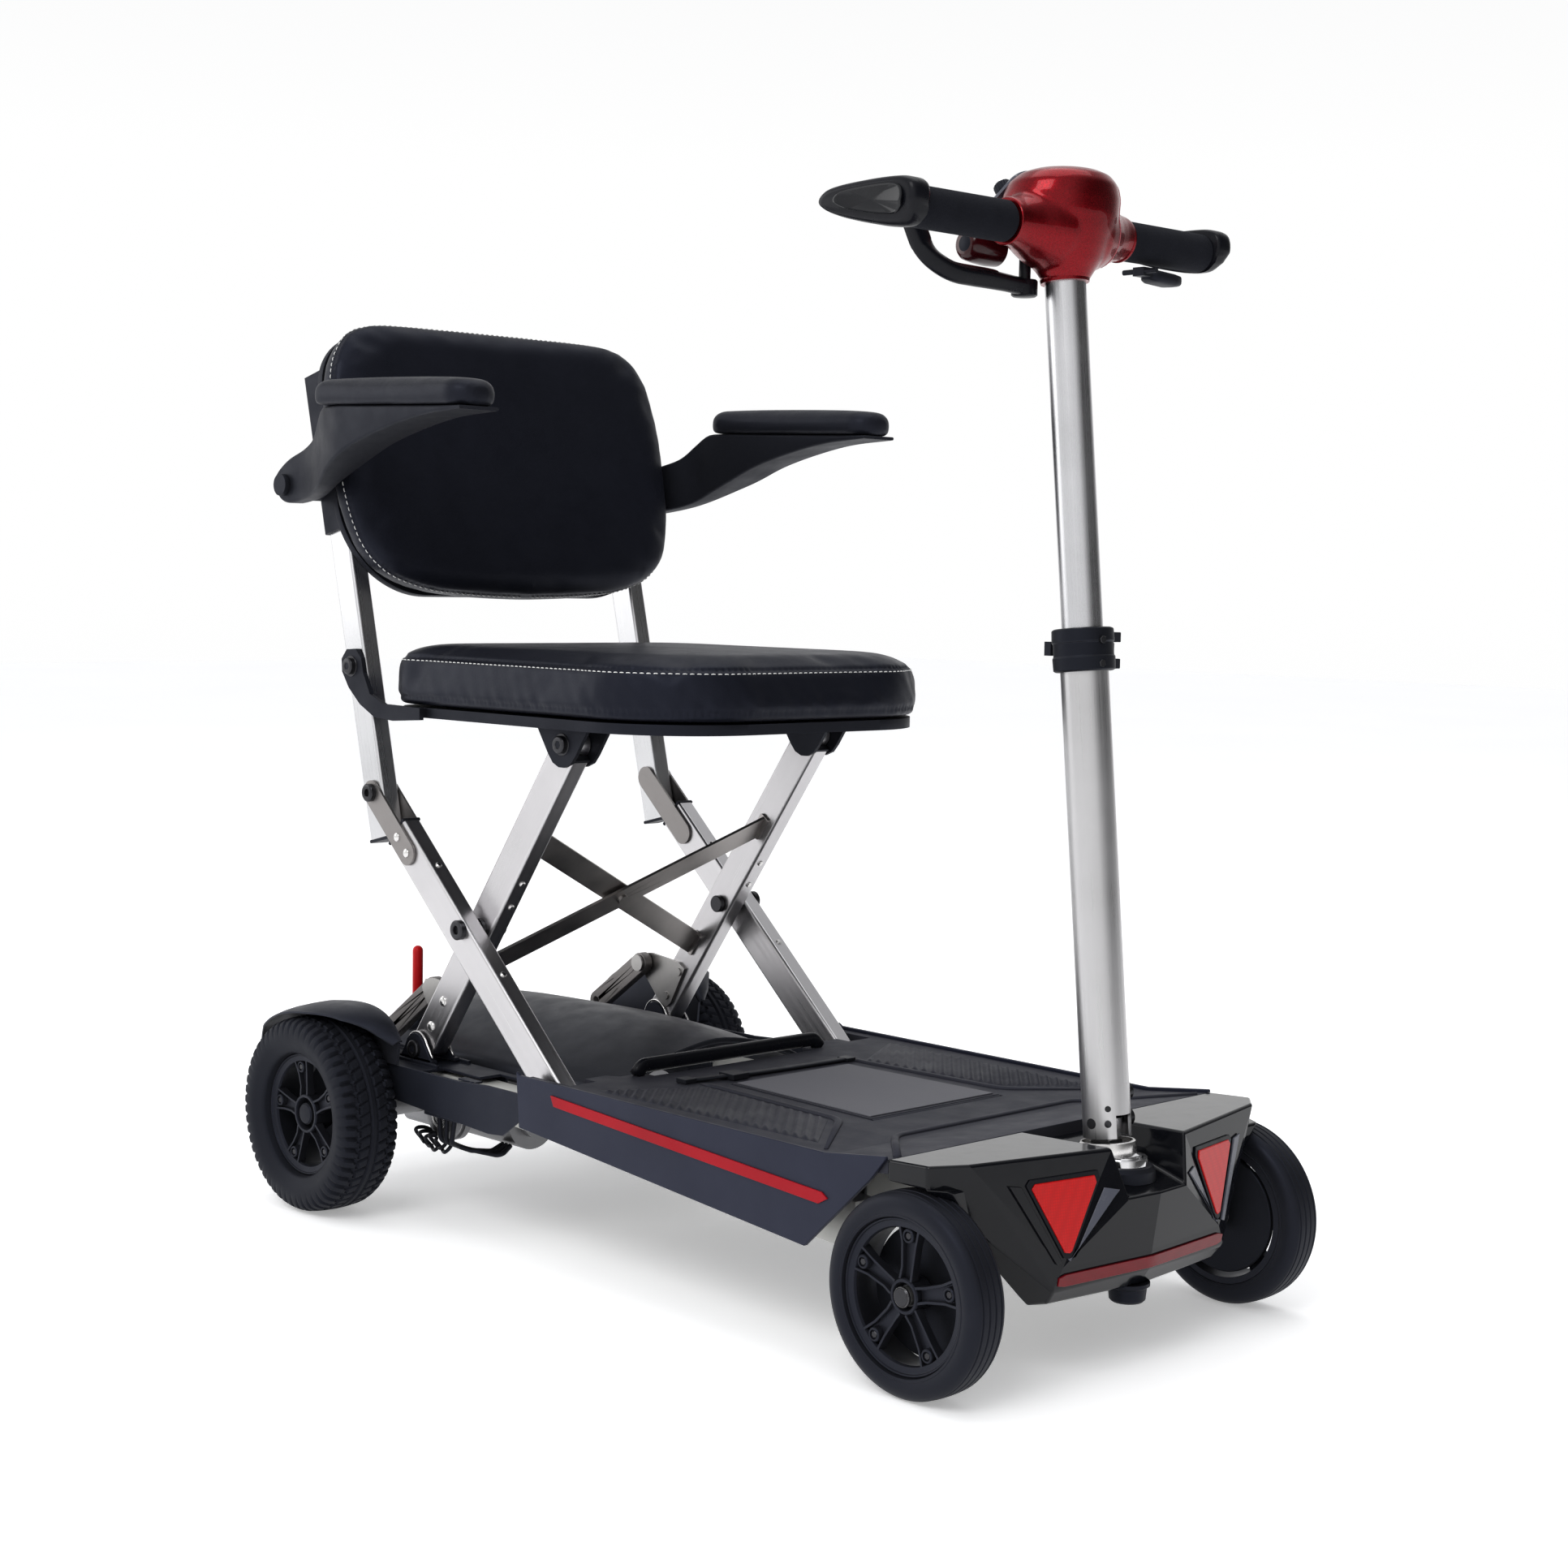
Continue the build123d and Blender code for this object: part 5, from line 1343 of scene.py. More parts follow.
p = arc_path([(774, -198, 186.7), (708, -132, 178.6), (693, -116, 178.2), (693, 116, 178.2), (708, 132, 178.6), (774, 198, 186.7)], 12)
fr.sweep(p, oval(7.0, 4.6, 16, 2.2))
fr.obj("deck_front_ridge", "deck_rib", "chassis", sharp=0)
mt = Mb()
mt.prism([(447, -73.5), (629, -81.2), (629, 81.2), (447, 73.5)], "xy", 178.9, 180.2)
mt.obj("lid_mat", "mat", "battery_lid", sharp=30, bevel=0.5)
for n in ("battery_lid",):
    frame["nodes"][n].data.materials[0] = M["deck"]
st = Mb()
p = smooth_path([(411, -104, 180.2), (417, -84, 180.6), (422, -62, 181.4), (424, -30, 180.4), (426, 20, 180.0), (428, 60, 180.2), (428, 90, 180.2)], 6)
st.sweep(p, oval(9, 3.6, 14, 3.0))
st.box(413, 434, -66, -46, 178.6, 184.2)
st.box(404, 418, -112, -98, 178.3, 182.6)
st.box(421, 435, 84, 96, 178.3, 182.0)
st.obj("lid_strap", "black", "chassis", sharp=30, bevel=0.8)
mk = Mb()
for x, y in ((341, 44), (342, 58), (344, 102)):
    mk.box(x - 4, x + 3, y - 2.0, y + 2.0, 178.0, 180.2)
mk.obj("handle_marks", "zinc", "chassis", sharp=30, bevel=0.5)
hl = Mb()
p = arc_path([(357, -121, 178.5), (357, -114, 187.2), (357, 114, 187.2), (357, 121, 178.5)], 9)
hl.sweep(p, oval(14, 9.5, 20, 2.8), upv=(1, 0, 0))
hl.obj("handle_grip", "gloss_soft", "chassis", rep=("deck_handle",), slot="gloss_black", sharp=0)

# ------------------------------------------------------------------ rear cover and fenders
xs_top = smooth_path([(-96, 0, 152), (-93, 0, 174), (-66, 0, 190), (-16, 0, 199), (64, 0, 203), (182, 0, 206), (271, 0, 203), (337, 0, 194.5)], 6)
prof = smooth_path([(-128, 0, 0.0), (-124.5, 0, 0.16), (-116, 0, 0.29), (-104, 0, 0.434), (-78, 0, 0.66), (-45, 0, 0.868), (0, 0, 1.0),
                    (45, 0, 0.868), (78, 0, 0.66), (104, 0, 0.434), (116, 0, 0.29), (124.5, 0, 0.16), (128, 0, 0.0)], 4)
rs = []
for q in xs_top:
    top = [(q.x, w.x, 150 + (q.z - 150) * w.z) for w in prof]
    bot = [(min(max(q.x, -93.5), 337), w.x * 0.978, 149.2 + max(0.0, (q.z - 153.2)) * w.z) for w in reversed(prof)]
    rs.append(top + bot)
cv = Mb().rings(rs)
cv.obj("rear_cover_shell", "cover", "chassis", rep=("rear_cover",), slot="dark_plastic", sharp=40)
rm = Mb()
p = [(336, w.x * 1.0, 150.5 + (194.5 - 150) * w.z) for w in prof]
rm.sweep(p, oval(6, 3.4, 12, 2.4), upv=(1, 0, 0))
rm.obj("rear_cover_rim", "cover", "chassis", sharp=0)
bo = Mb()
bo.lathe((-28, -100, 164), (0, 0, 1), [(0, 13), (8, 12), (13, 9.5), (18, 7.2), (20, 5.0)], 28)
bo.obj("lever_boot", "black", "chassis", sharp=30)
for sg, nm in ((1, "left"), (-1, "right")):
    top = smooth_path([(-92, 0, 161), (-84, 0, 174), (-70, 0, 188), (-50, 0, 199.5), (-20, 0, 208.2), (20, 0, 211.4), (50, 0, 208), (72, 0, 198), (88, 0, 181)], 5)
    wid = {-95: 244, -90: 256, -72: 264, -30: 266, 10: 262, 50: 248, 78: 224, 90: 206}
    wx, wy = list(wid), list(wid.values())
    rs = []
    for i, q in enumerate(top):
        yo = float(np.interp(q.x, wx, wy))
        a, b = top[max(i - 1, 0)], top[min(i + 1, len(top) - 1)]
        t = (b - a).normalized()
        n = Vector((-t.z, 0, t.x))
        if n.z < 0:
            n = -n
        up_, dn = [], []
        for k in (0.0, 0.2, 0.45, 0.7, 0.85, 0.94, 1.0):
            y = 200.4 + (yo - 200.4) * k
            drop = 5.0 * max(0.0, (k - 0.55) / 0.45) ** 2 - 1.6 * math.sin(min(1.0, k / 0.55) * math.pi)
            c = Vector((q.x, y, q.z)) - n * drop
            up_.append((c.x, c.y * sg, c.z))
            c2_ = c - n * 2.6 * (1.0 if k < 1 else 0.7)
            dn.append((c2_.x, c2_.y * sg, c2_.z))
        rs.append(up_ + dn[::-1])
    fe = Mb().rings(rs)
    fin = [(-88, 156)] + [(q.x * 0.96, q.z - 2.6) for q in top] + [(82, 156)]
    fe.prism(fin, "xz", 200.4 * sg, 203.2 * sg)
    fe.obj("fender_" + nm, "fender", "chassis", rep=("rear_fenders",), slot="dark_plastic", sharp=40)

# ------------------------------------------------------------------ bolts with sockets, plugs, rivets
def socket_head(mb, c, d, r, h, hexr):
    prof = [(0, r), (h - 1.2, r), (h - 0.3, r - 0.9), (h, r - 1.8), (h, hexr + 0.7), (h - 0.5, hexr), (h - 3.2, hexr), (h - 3.4, 0.1)]
    mb.lathe(c, d, prof, 36)


ob = Mb()
for sg in (1, -1):
    ob.cyl((X[0], 142.5 * sg, X[1]), (X[0], 148.2 * sg, X[1]), 9.0, e=0.8)
    ob.cyl((X[0], 148 * sg, X[1]), (X[0], 193 * sg, X[1]), 6.0)
    ob.cyl((X[0], 168.8 * sg, X[1]), (X[0], 172.8 * sg, X[1]), 9.5)
    socket_head(ob, (X[0], 193.1 * sg, X[1]), (0, sg, 0), 9.8, 6.4, 4.2)
    socket_head(ob, (P[0], 195.9 * sg, P[1]), (0, sg, 0), 9.2, 5.6, 3.9)
ob.obj("outer_leg_bolts_sockets", "bolt", "outer_legs", rep=("outer_leg_bolts",), slot="black_bolt", sharp=30)
for nm, body, c, y, r, h in (("seat_bolts_front", "seat", U, 173.4, 8.4, 5.8), ("seat_bolts_rear", "seat", S, 199.3, 8.4, 5.8),
                             ("foot_bolts", "foot_shoes", R, 173.0, 8.9, 7.2), ("deck_hinge_bolts", "chassis", D, 193.3, 11.2, 5.4)):
    q = Mb()
    for sg in (1, -1):
        socket_head(q, (c[0], y * sg, c[1]), (0, sg, 0), r, h, r * 0.42)
        q.cyl((c[0], (y - 0.2) * sg, c[1]), (c[0], (y + 1.0) * sg, c[1]), r + 2.4, 36, e=0.4)
    q.obj(nm, "bolt", body, slot="black_bolt", sharp=30)


def leg_pt(a, b, s, n):
    l = math.hypot(b[0] - a[0], b[1] - a[1])
    d = ((b[0] - a[0]) / l, (b[1] - a[1]) / l)
    return (a[0] + d[0] * s + d[1] * n, a[1] + d[1] * s - d[0] * n), d


# black end plugs of the tubes
for nm, body, a, b, s0, s1, y0, y1, k in (("plug_outer", "outer_legs", P, D, 53.2, 56.6, 172.4, 193.6, 18.6),
                                          ("plug_post", "backrest", P, S, -50.0, -46.6, 172.4, 193.6, 17.1),
                                          ("plug_inner", "inner_legs", U, R, 5.2, 8.6, 147.9, 168.4, 18.6)):
    q = Mb()
    for sg in (1, -1):
        pts = [leg_pt(a, b, s, n)[0] for s, n in ((s0, -k), (s1, -k), (s1, k), (s0, k))]
        q.prism(pts, "xz", y0 * sg, y1 * sg)
    q.obj(nm, "black", body, sharp=30, bevel=1.0)
# rivets on the flat faces
rv = Mb()
for sg in (1, -1):
    for s in (62.0, 84.0):
        c, _ = leg_pt(P, D, s, 0)
        rv.lathe((c[0], 195.8 * sg, c[1]), (0, sg, 0), [(0, 4.6), (0.8, 4.5), (1.7, 3.6), (2.2, 2.0), (2.3, 0.1)], 24)
rv.obj("link_rivets", "zinc", "outer_legs", sharp=30)
rv = Mb()
for sg in (1, -1):
    for c in ((112.5, 221.5), (92.0, 193.0)):
        rv.lathe((c[0], 168.4 * sg, c[1]), (0, sg, 0), [(0, 5.4), (0.8, 5.3), (1.9, 4.2), (2.5, 2.4), (2.6, 0.1)], 24)
    for s in (206, 236):
        c, d = leg_pt(R, U, s, 18.0)
        nx = (d[1], -d[0])
        rv.lathe((c[0], 158 * sg, c[1]), (nx[0], 0, nx[1]), [(0, 3.2), (0.8, 3.1), (1.5, 2.2), (1.7, 0.1)], 20)
rv.obj("inner_leg_rivets", "zinc", "inner_legs", sharp=30)
rv = Mb()
for sg in (1, -1):
    for s in (118, 262):
        c, d = leg_pt(P, D, s, -18.0)
        rv.lathe((c[0], 183 * sg, c[1]), (-d[1], 0, d[0]), [(0, 3.4), (0.8, 3.3), (1.6, 2.4), (1.8, 0.1)], 20)
rv.obj("outer_leg_screws", "zinc", "outer_legs", sharp=30)
# silver edged clevis cheeks at the feet
cl = Mb()
EAR = [(50, 157.4), (102, 157.4), (100.5, 161), (91.5, 172), (87, 178.6), (80.5, 183.4), (74, 184.8), (66.4, 183.0), (60.6, 178), (56.4, 170), (50.6, 161)]
for sg in (1, -1):
    cl.prism(EAR, "xz", 173.3 * sg, 175.6 * sg)
cl.obj("foot_cheeks", "frame_dark", "foot_shoes", sharp=30, bevel=0.7)
ed = Mb()
for sg in (1, -1):
    p = smooth_path([(x, 172.2 * sg, z + 0.7) for x, z in EAR[2:]], 4)
    ed.tube(p, 1.25, 8)
    p = smooth_path([(x, 146.4 * sg, z + 0.7) for x, z in EAR[2:]], 4)
    ed.tube(p, 1.25, 8)
ed.obj("foot_edges", "zinc", "foot_shoes", sharp=0)

# side rails: the rear end of the underside rises to stay behind the dark side plates
rl = frame["nodes"]["chassis_rails"].data.copy()
co = coords_of(rl)
x_mm, z_mm = (co[:, 0] - AXLE_X) * 1000, co[:, 2] * 1000
sel = (x_mm < 30) & (z_mm < 112) & (np.abs(co[:, 1]) > 0.14)
co[sel, 2] += 0.020
put_coords(rl, co)
ro = bpy.data.objects.new("side_rails", rl)
COL.objects.link(ro)
w = ro.modifiers.new("weld", "WELD")
w.merge_threshold = 0.00002
dress(ro, "frame_white", "chassis", rep=("chassis_rails",), slot="white_frame", sharp=30, bevel=0.8)
# motor end bell and the looped leads under the rear side plate
mo = Mb()
mo.lathe((62, -112, 92), (0, -1, 0), [(0, 25), (2, 27), (9, 27), (9.6, 24.5), (13, 24.5), (13.6, 26), (20, 25.5), (23, 22), (24, 15), (24, 9), (21, 8.4), (21, 0.1)], 48)
mo.obj("motor_end_bell", "motor", "chassis", sharp=30)
mr = Mb()
mr.lathe((62, -124.6, 92), (0, -1, 0), [(0, 25.4), (1.4, 25.4)], 48)
mr.lathe((62, -134.5, 92), (0, -1, 0), [(0, 14.2), (1.9, 13.2), (2.0, 10.0), (1.2, 9.0)], 40)
mr.obj("motor_rings", "zinc", "chassis", sharp=30)
wl = Mb()
rnd = random.Random(5)
for k in range(5):
    pts = []
    x0, z0 = 42 + 11 * k, 70 - 2.2 * (k % 3)
    for i in range(9):
        a = math.pi * (0.1 + 1.5 * i / 8) + 0.5 * k
        pts.append((x0 + (12 + 2 * (k % 2)) * math.cos(a), -141 - 1.6 * k + 3 * math.sin(2 * a), z0 + 7.5 * math.sin(a)))
    wl.tube(smooth_path(pts, 4), 2.0, 8)
wl.obj("motor_leads", "cable", "chassis", sharp=0)
pin_ = Mb()
pin_.lathe((200, -197, 153.2), (0, 0.1, 1), [(0, 2.6), (3.5, 2.4), (4.2, 1.2)], 16)
pin_.box(176, 204, -196, -187, 154.8, 157.0)
pin_.obj("track_stop", "frame_dark", "chassis", sharp=30, bevel=0.5)

# ------------------------------------------------------------------ head, console, grips, levers
hd = Mb()
rs = []
for cx, z, rx, ry in ((757.6, 905.4, 20.4, 20.4), (757.2, 911, 23, 24), (755.4, 921, 31, 32), (752.5, 933, 38.5, 41), (750.5, 946, 44.2, 48.5),
                      (750.4, 960, 47, 53), (751.5, 974, 46.6, 53.5), (753, 985, 43.5, 49.5), (754.5, 992.5, 36.5, 41), (755.5, 996.6, 26, 29),
                      (755.8, 998.6, 10, 12)):
    rs.append([(cx + rx * math.cos(a), ry * math.sin(a), z) for a in [2 * math.pi * i / 56 for i in range(56)]])
hd.rings(rs)
for sg in (1, -1):
    hd.lathe((754, 6 * sg, 948), (0.015, sg, 0), [(0, 38), (20, 35.5), (34, 30), (46, 24.5), (58, 20.6), (70.0, 18.9)], 48)
hm = hd.bm()
me = bpy.data.meshes.new("head_tmp")
hm.to_mesh(me)
hm.free()
ho = bpy.data.objects.new("head_body", me)
COL.objects.link(ho)
r = ho.modifiers.new("r", "REMESH")
r.mode = "VOXEL"
r.voxel_size = 0.0017
applied(ho)
s_ = ho.modifiers.new("s", "SMOOTH")
s_.factor = 0.6
s_.iterations = 14
applied(ho)
bm = bmesh.new()
bm.from_mesh(ho.data)


def slice_off(bm, p, n):
    g = bmesh.ops.bisect_plane(bm, geom=bm.verts[:] + bm.edges[:] + bm.faces[:], plane_co=p, plane_no=n, clear_outer=True)
    e = [x for x in g["geom_cut"] if isinstance(x, bmesh.types.BMEdge)]
    bmesh.ops.edgeloop_fill(bm, edges=e)


slice_off(bm, V(693, 0, 962), Vector((-0.6, 0, 0.8)))
slice_off(bm, V(755, 73.8, 947), Vector((0, 1, 0)))
slice_off(bm, V(755, -73.8, 947), Vector((0, -1, 0)))
slice_off(bm, V(757, 0, 905.6), Vector((0, 0, -1)))
bmesh.ops.recalc_face_normals(bm, faces=bm.faces)
bm.to_mesh(ho.data)
bm.free()
dress(ho, "candy", "tiller_upper", rep=("head_shell",), slot="red_metallic", sharp=42)
# parting line between the front and rear mouldings, drawn in a paler red than the shell: a painted highlight along the
# seam
hits = trace(ho, [(V(840, 39 - 0.10 * (z - 946), z), Vector((-1, 0, 0))) for z in range(910, 992, 2)])
pl_ = Mb()
if len(hits) > 6:
    pl_.tube([((h.x - AXLE_X) * 1000, h.y * 1000, h.z * 1000) for h, _ in hits], 0.55, 8)
    pl_.obj("head_parting_line", "painted_highlight_red", "tiller_upper", sharp=0)
col_ = Mb()
for sg in (1, -1):
    col_.lathe((755, 71.5 * sg, 947), (0, sg, 0), [(0, 18.9), (0.6, 19.5), (2.2, 19.5), (2.8, 18.8), (2.8, 15.0)], 48)
col_.obj("head_collars", "candy", "tiller_upper", sharp=35)
nk = Mb()
nk.lathe((757.9, 0, 903.2), (-0.0995, 0, 0.995), [(0, 18.1), (0, 20.6), (3.0, 21.2), (4.5, 20.8)], 48)
nk.obj("head_neck_ring", "candy", "tiller_upper", sharp=35)
EX, EN = Vector((0.8, 0, 0.6)), Vector((-0.6, 0, 0.8))
O_ = Vector((693, 0, 962)) + EX * 30


def cpt(u, v, w):
    """u across, v up the slope, w out of the console"""
    p = O_ + EX * v + EN * w
    return (p.x, u, p.z)


pn_ = Mb()
for k in (0,):
    rs = []
    for w, ins in ((-1.2, 0.0), (1.0, 0.0), (2.4, 1.4), (2.4, 6.0), (0.9, 7.2)):
        rs.append([cpt(u, v, w) for u, v in round_rect(-37 + ins, 37 - ins, -26 + ins, 25 - ins, [13 - ins * 0.5] * 4, 8)])
    pn_.rings(rs)
pn_.obj("console_edge", "bezel", "tiller_upper", rep=("console_panel",), slot="gloss_black", sharp=30)
fp = Mb()
fp.rings([[cpt(u, v, w) for u, v in round_rect(-29.6, 29.6, -18.6, 17.6, [9.5] * 4, 8)] for w in (0.4, 1.7)])
fp.obj("console_face", "black", "tiller_upper", sharp=30, bevel=0.4)
hp = Mb()
rs = []
for w, ins in ((0.8, 0.0), (6.0, 0.8), (9.4, 2.6), (11.6, 5.6), (12.6, 9.6)):
    rs.append([cpt(u, v, w) for u, v in round_rect(-13 + ins, 25 - ins, -14 + ins, 20 - ins, [9 - ins * 0.5] * 4, 8)])
hp.rings(rs)
hp.obj("display_hump", "gloss_soft", "tiller_upper", sharp=0)
dp = Mb()
dp.rings([[cpt(u, v, w) for u, v in round_rect(-4, 17, -6.5, 11.5, [4] * 4, 6)] for w in (12.0, 13.1)])
dp.obj("display_window", "gloss", "tiller_upper", sharp=30, bevel=0.4)
kb = Mb()
kc = Vector(cpt(-26, -8.5, 2.0))
kc = Vector((711.7, -26, 980.4))
N = 72
rs = []
for w, r0, g in ((0, 8.2, 0.0), (1.0, 8.4, 0.0), (1.4, 8.2, 0.5), (7.4, 7.8, 0.5), (8.2, 7.2, 0.2), (8.8, 6.2, 0.0), (8.9, 0.2, 0.0)):
    ring_ = []
    for i in range(N):
        a = 2 * math.pi * i / N
        rr_ = r0 - (g if i % 4 < 2 else 0.0)
        p = kc + EN * w + (EX * math.cos(a) + Vector((0, 1, 0)) * math.sin(a)) * rr_
        ring_.append((p.x, p.y, p.z))
    rs.append(ring_)
kb.rings(rs)
kb.obj("speed_knob_ribbed", "black", "speed_knob", rep=("speed_knob",), slot="gloss_black", sharp=30)
kk = Mb()
kk.lathe(tuple(kc + EN * 8.6), tuple(EN), [(0, 6.4), (0.5, 6.2), (0.9, 5.4), (1.0, 0.2)], 32)
kk.obj("speed_knob_cap", "chrome", "speed_knob", sharp=30)
# foam grips with soft ends
gr = Mb()
for sg in (1, -1):
    gr.lathe((755, 74.4 * sg, 947), (0, sg, 0), [(0, 14.5), (0.6, 16.0), (2.4, 17.2), (50, 17.1), (102, 17.0), (110.6, 16.8), (111.6, 15.8)], 56)
gr.obj("grip_foam", "foam", "tiller_upper", rep=("handlebar_grips",), slot="foam", sharp=30)
HORN = [(773, 938), (777, 950), (775, 962), (765, 967.5), (744, 969), (715, 968.5), (690, 967), (675, 964), (667.5, 957.5), (671, 951),
        (688, 943), (715, 936), (742, 931), (762, 930.5)]
hs = smooth_path(HORN + HORN[:1], 5)[:-1]
hcx, hcz = 728.0, 950.5
for sg, nm in ((1, "left"), (-1, "right")):
    rs = []
    for y, ins in ((186.4, 2.5), (187.4, 0.8), (190, 0.0), (200, 0.0), (203.6, 0.6), (205.8, 2.0), (206.8, 4.4), (206.9, 5.6)):
        ring_ = []
        for p in hs:
            dx, dz = p.x - hcx, p.y - hcz
            x = hcx + dx * (1 - ins / 50)
            z = hcz + dz * (1 - ins / 19)
            yy = y - (max(0.0, 948 - z) * 0.52 if y > 189 else 0)
            yy = max(yy, 186.4 + (y - 186.4) * 0.2)
            ring_.append((x, yy * sg, z))
        rs.append(ring_)
    hb = Mb().rings(rs)
    hb.obj("horn_" + nm, "gloss_soft", "tiller_upper", rep=("grip_horns",), slot="gloss_black", sharp=50)
    ov = Mb()
    rs = []
    for y, k in ((205.8, 0.70), (207.6, 0.70), (208.0, 0.67), (207.2, 0.62), (207.1, 0.02)):
        ring_ = []
        for p in hs:
            x = hcx + 2 + (p.x - hcx) * k
            z = hcz + 1.2 + (p.y - hcz) * k * 0.86
            ring_.append((x, (y - max(0.0, 948 - z) * 0.52) * sg, z))
        rs.append(ring_)
    ov.rings(rs)
    ov.obj("horn_face_" + nm, "gloss", "tiller_upper", sharp=40)
pd_ = Mb()
pd_.lathe((710, -74, 933), (0.05, 1, -0.06), [(0, 9.0), (1.0, 11.5), (4, 13.6), (14, 14.8), (26, 15.2), (38, 14)], 40)
pd_.obj("lever_pod", "red_dark", "tiller_upper", sharp=40)
ps_ = Mb()
ps_.lathe((710, -74.4, 933), (0.05, 1, -0.06), [(0, 6.2), (0.8, 7.4), (1.6, 7.4)], 32)
ps_.obj("lever_pod_cap", "black", "tiller_upper", sharp=40)
lp_ = smooth_path(arc_path([(732, -22, 900), (729, -60, 903), (723, -104, 905), (716, -128, 918), (712, -140, 946)], 14, 5), 2)
th = Mb()
scl = [0.92 + 0.12 * math.sin(math.pi * i / (len(lp_) - 1)) for i in range(len(lp_))]
th.sweep(lp_, oval(19.5, 15.5, 24, 3.4), upv=(0.25, -0.35, 0.9), scale=scl)
th.lathe((732, -22, 891.5), (0, 0, 1), [(0, 9.5), (1.4, 11.2), (13, 11.2), (14.4, 10)], 36)
th.cyl((732, -22, 900), (732, -22, 935), 5.0)
th.obj("loop_lever", "gloss_soft", "throttle_lever", rep=("throttle_lever",), slot="gloss_black", sharp=45)
ins_ = Mb()
ip = [p + Vector((0.6, 0.4, 7.9)) if i < len(lp_) * 0.62 else p + Vector((0.0, 7.6, 2.0)) for i, p in enumerate(lp_)][6:-8]
if len(ip) > 6:
    ins_.sweep(smooth_path(ip[::4], 4), oval(9, 1.2, 12, 3), upv=(0.25, -0.35, 0.9))
    ins_.obj("loop_lever_inlay", "red_dark", "throttle_lever", sharp=45)

# ------------------------------------------------------------------ column details
tl_ = math.hypot(-72, 720)
TA = Vector((-72 / tl_, 0, 720 / tl_))


def colp(s, y=0.0):
    return Vector((FOLD[0], y, FOLD[1])) + TA * s


cb_ = Mb()
for s, h, r in ((0, 9.2, 8.6), (22, 9.2, 8.6)):
    c = colp(s)
    cb_.lathe((c.x, 20.2, c.z), (0, 1, 0), [(0, r + 1.6), (1.2, r + 1.6), (1.4, r - 0.6), (h - 1.2, r - 0.6), (h, r - 1.8), (h, 4.2), (h - 3, 4.0), (h - 3.2, 0.1)], 32)
    cb_.lathe((c.x + 14, -15.6, c.z + 1.4), (0.66, -0.75, 0), [(0, 3.0), (1.0, 3.0), (1.2, 1.8)], 20) if s == 0 else None
cb_.cyl((FOLD[0], -20.6, FOLD[1]), (FOLD[0], 20.6, FOLD[1]), 4.5)
cb_.obj("column_fold_bolts", "bolt", "tiller", rep=("tiller_bolts",), slot="black_bolt", sharp=30)
ctr = Mb()
c0, c1 = colp(380), colp(416.5)
ctr.lathe(tuple(c0), tuple(TA), [(0, 20.7), (0, 24.2), (1.2, 26.2), (12, 26.6), (13, 25.6), (24, 25.6), (25, 26.6), (35.4, 26.2), (36.5, 24.0), (36.5, 17.6)], 56)
pc_ = colp(398)
ctr.box(pc_.x - 8, pc_.x + 10, 23.5, 37.5, pc_.z + 7.0, pc_.z + 15.5)
ctr.box(pc_.x - 8, pc_.x + 10, 23.5, 37.5, pc_.z - 15.5, pc_.z - 7.0)
ctr.obj("column_clamp", "black", "tiller", rep=("tiller_clamp",), slot="gloss_black", sharp=30, bevel=0.8)
cs_ = Mb()
for zz in (-11, 11):
    cs_.hexa((pc_.x + 1, 37.4, pc_.z + zz), (0, 1, 0), 6.5, 3.2)
    cs_.hexa((pc_.x + 24.6, -6, pc_.z + zz * 0.9), (0.97, -0.2, 0.05), 6.0, 2.6)
cs_.obj("column_clamp_screws", "bolt", "tiller", sharp=30)
# head of the stem bolt and small hole in the column; the hole is a shallow black gloss disc, painted shade where the
# hole is
hole = Mb()
hc = colp(14)
hole.lathe((hc.x + 13.9, -14.5, hc.z), (0.69, -0.72, 0), [(0, 2.6), (0.9, 2.6), (0.9, 0.1)], 20)
hole.obj("column_hole", "gloss", "tiller", sharp=30)

cvr = Mb()
n = 20
rs = []
for s in (8.5, 34.5):
    b0 = colp(s)
    outer = [b0 + Vector((math.cos(a) * 20.75, math.sin(a) * 20.75, 0)) for a in [math.radians(-36 + 72 * i / n) for i in range(n + 1)]]
    inner = [b0 + Vector((math.cos(a) * 18.6, math.sin(a) * 18.6, 0)) for a in [math.radians(36 - 72 * i / n) for i in range(n + 1)]]
    rs.append([tuple(p) for p in outer + inner])
cvr.rings(rs)
cvr.obj("column_front_cover", "alu_col", "tiller", sharp=40)
cup_ = Mb()
b0 = Vector((831.2, 0, 170.5))
cup_.lathe(tuple(b0), tuple(TA), [(0, 12), (0, 24.0), (1.5, 24.6), (9, 24.6), (11.5, 24.0), (12.2, 23.0), (12.2, 21.6), (3, 21.4), (3, 12)], 56)
cup_.obj("column_cup", "zinc", "steering_stem", sharp=30)
lv_ = Mb()
rs = []
for y, k in ((104, 0.45), (107, 0.8), (112, 1.0), (134, 1.0), (142, 0.86), (146, 0.5)):
    rs.append([(762 + a * k, y, 918.8 + b * k * 0.9 - (1.2 if y > 120 else 0)) for a, b in oval(21, 12.5, 24, 3.6)])
lv_.rings(rs)
lv_.box(756, 768, 92.5, 110, 918.0, 925.5)
lv_.cyl((744, 95.0, 922.0), (780, 95.0, 922.0), 2.3)
lv_.obj("left_lever_paddle", "black", "left_lever", rep=("left_lever",), slot="dark_plastic", sharp=40)

# armrest brackets: one smooth swept shape
def lerp_tab(tab, x):
    for (x0, v0), (x1, v1) in zip(tab, tab[1:]):
        if x <= x1:
            return v0 + (v1 - v0) * max(0.0, min(1.0, (x - x0) / (x1 - x0)))
    return tab[-1][1]


def smooth_step(t):
    t = max(0.0, min(1.0, t))
    return t * t * (3 - 2 * t)


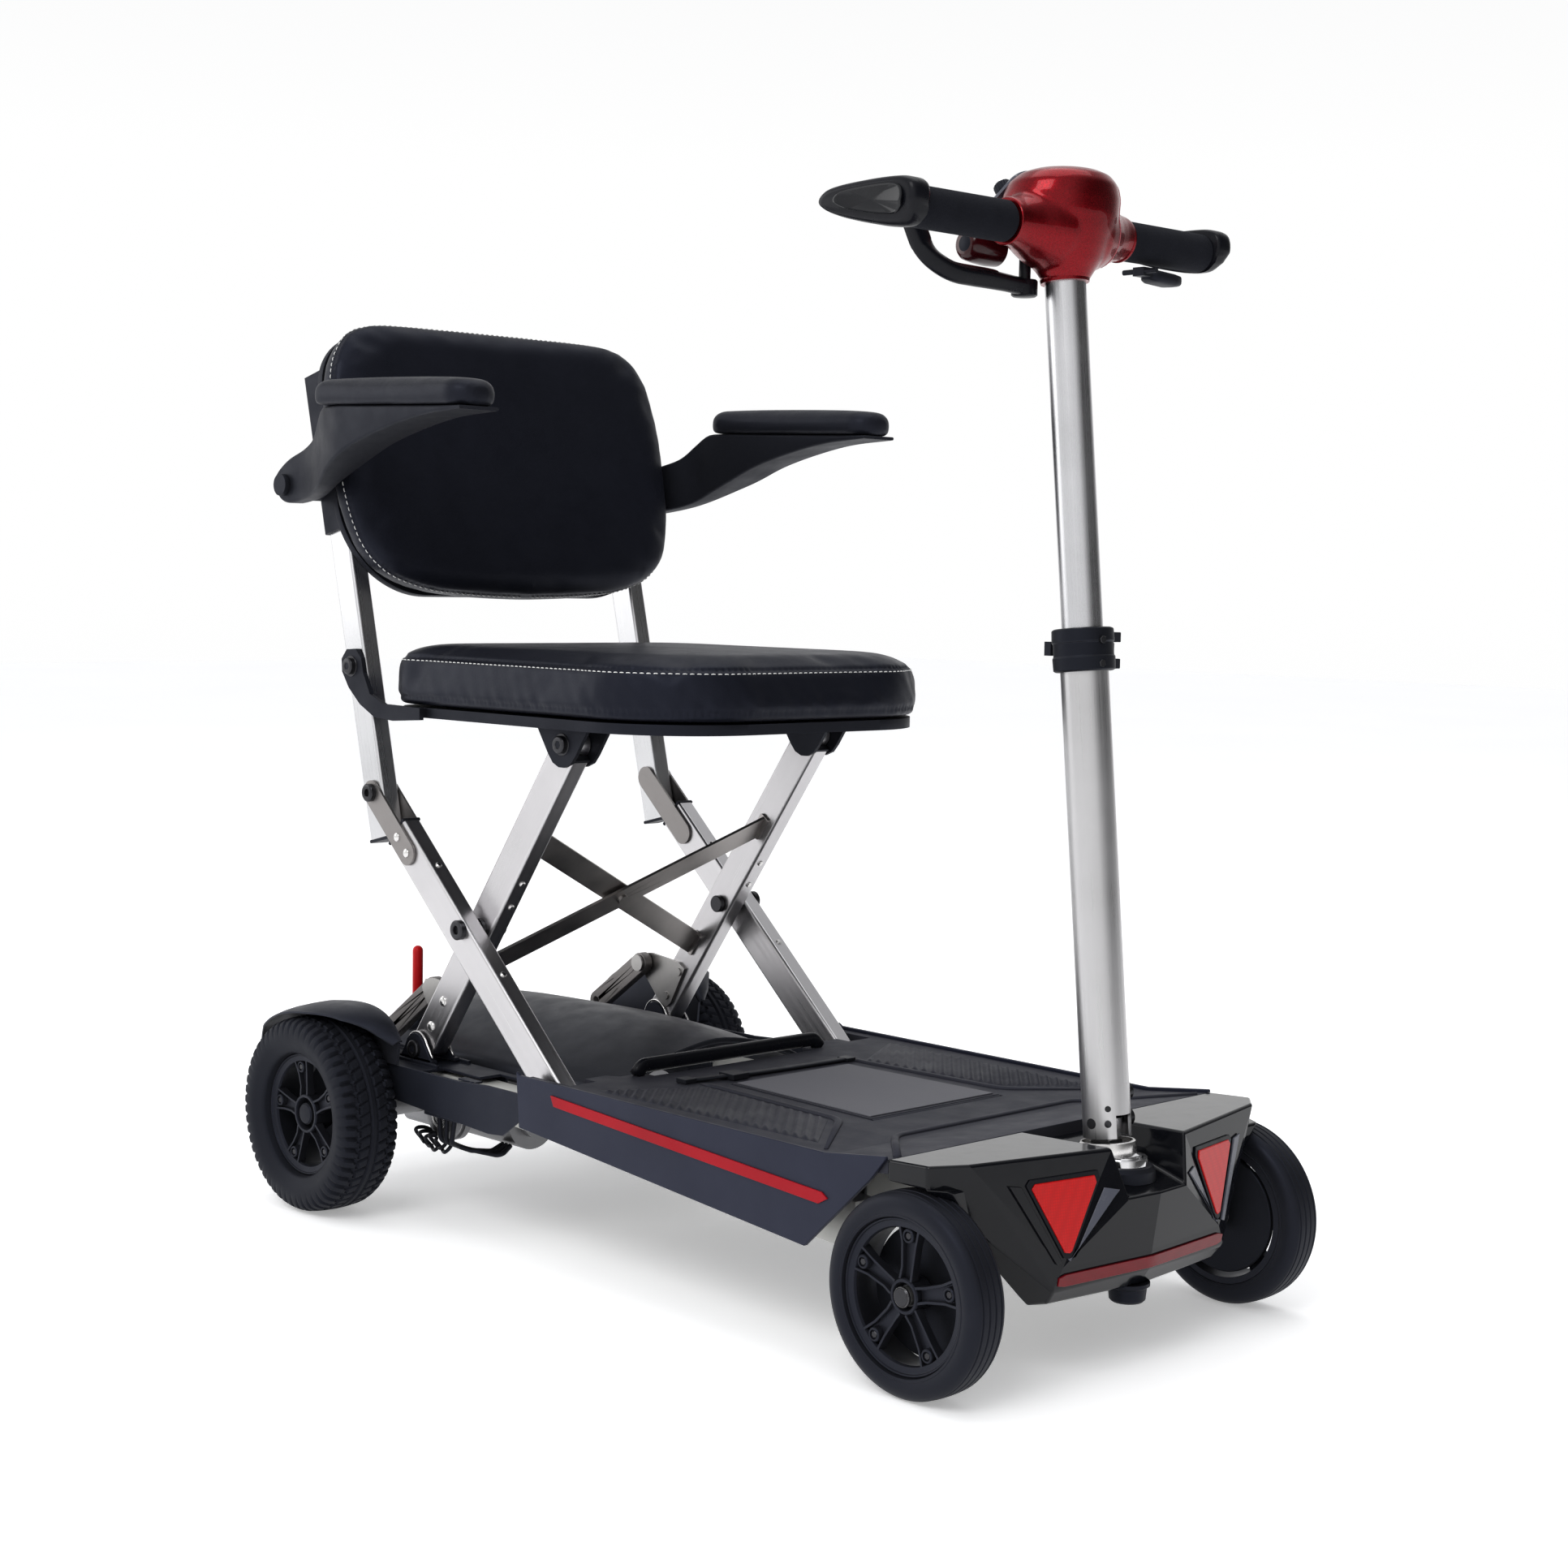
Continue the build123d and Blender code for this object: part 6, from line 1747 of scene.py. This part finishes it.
UP_ = [(p.x, p.y) for p in smooth_path([(-86.8, 744, 0), (-81, 752, 0), (-60, 764, 0), (-28, 773.5, 0), (2, 783, 0), (24, 799, 0), (40, 808.2, 0), (62, 810.0, 0),
                                        (150, 807.0, 0), (288, 802.3, 0)], 8)]
LO_ = [(p.x, p.y) for p in smooth_path([(-86.8, 740, 0), (-84, 730, 0), (-76, 722, 0), (-64, 718.8, 0), (-44, 720.4, 0), (10, 730.5, 0), (68, 753, 0), (130, 775.5, 0),
                                        (216, 793.4, 0), (288, 799, 0)], 8)]
xs = [-86.8, -86.0, -85, -84, -82, -80, -77, -74, -70, -66, -62] + [-58 + 6.0 * i for i in range(58)] + [287.4, 288.0]
for sg, nm in ((1, "left"), (-1, "right")):
    rs = []
    for i, x in enumerate(xs):
        zu, zl = lerp_tab(UP_, x), lerp_tab(LO_, x)
        zu = max(zu, zl + 0.8)
        yi = 222.0 + 16.0 * smooth_step((x + 36) / 72)
        yo = 240.0 + 43.0 * smooth_step((x + 50) / 150)
        end = min(1.0, (i + 1) / 3.0)
        r_ = min(3.0, (zu - zl) * 0.45) * 1.0
        cy, cz, hy, hz = (yi + yo) / 2, (zu + zl) / 2, (yo - yi) / 2, (zu - zl) / 2
        ring_ = []
        for qy, qz in ((1, 1), (-1, 1), (-1, -1), (1, -1)):
            for k in range(5):
                a = math.radians({(1, 1): 0, (-1, 1): 90, (-1, -1): 180, (1, -1): 270}[(qy, qz)] + 90 * k / 4)
                ring_.append((x, sg * (cy + qy * (hy - r_) + r_ * math.cos(a)), cz + qz * (hz - r_) + r_ * math.sin(a)))
        rs.append(ring_)
    br_ = Mb().rings(rs)
    br_.obj("armrest_bracket_" + nm + "_smooth", "arm", "armrest_" + nm, rep=("armrest_bracket_" + nm,), slot="dark_plastic", sharp=46)

# ------------------------------------------------------------------ size note and finish
now_lo, now_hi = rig.bounds()
with open("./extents.json", "w") as f:
    json.dump({"cad": [list(CAD_LO), list(CAD_HI)], "visual": [list(now_lo), list(now_hi)]}, f)
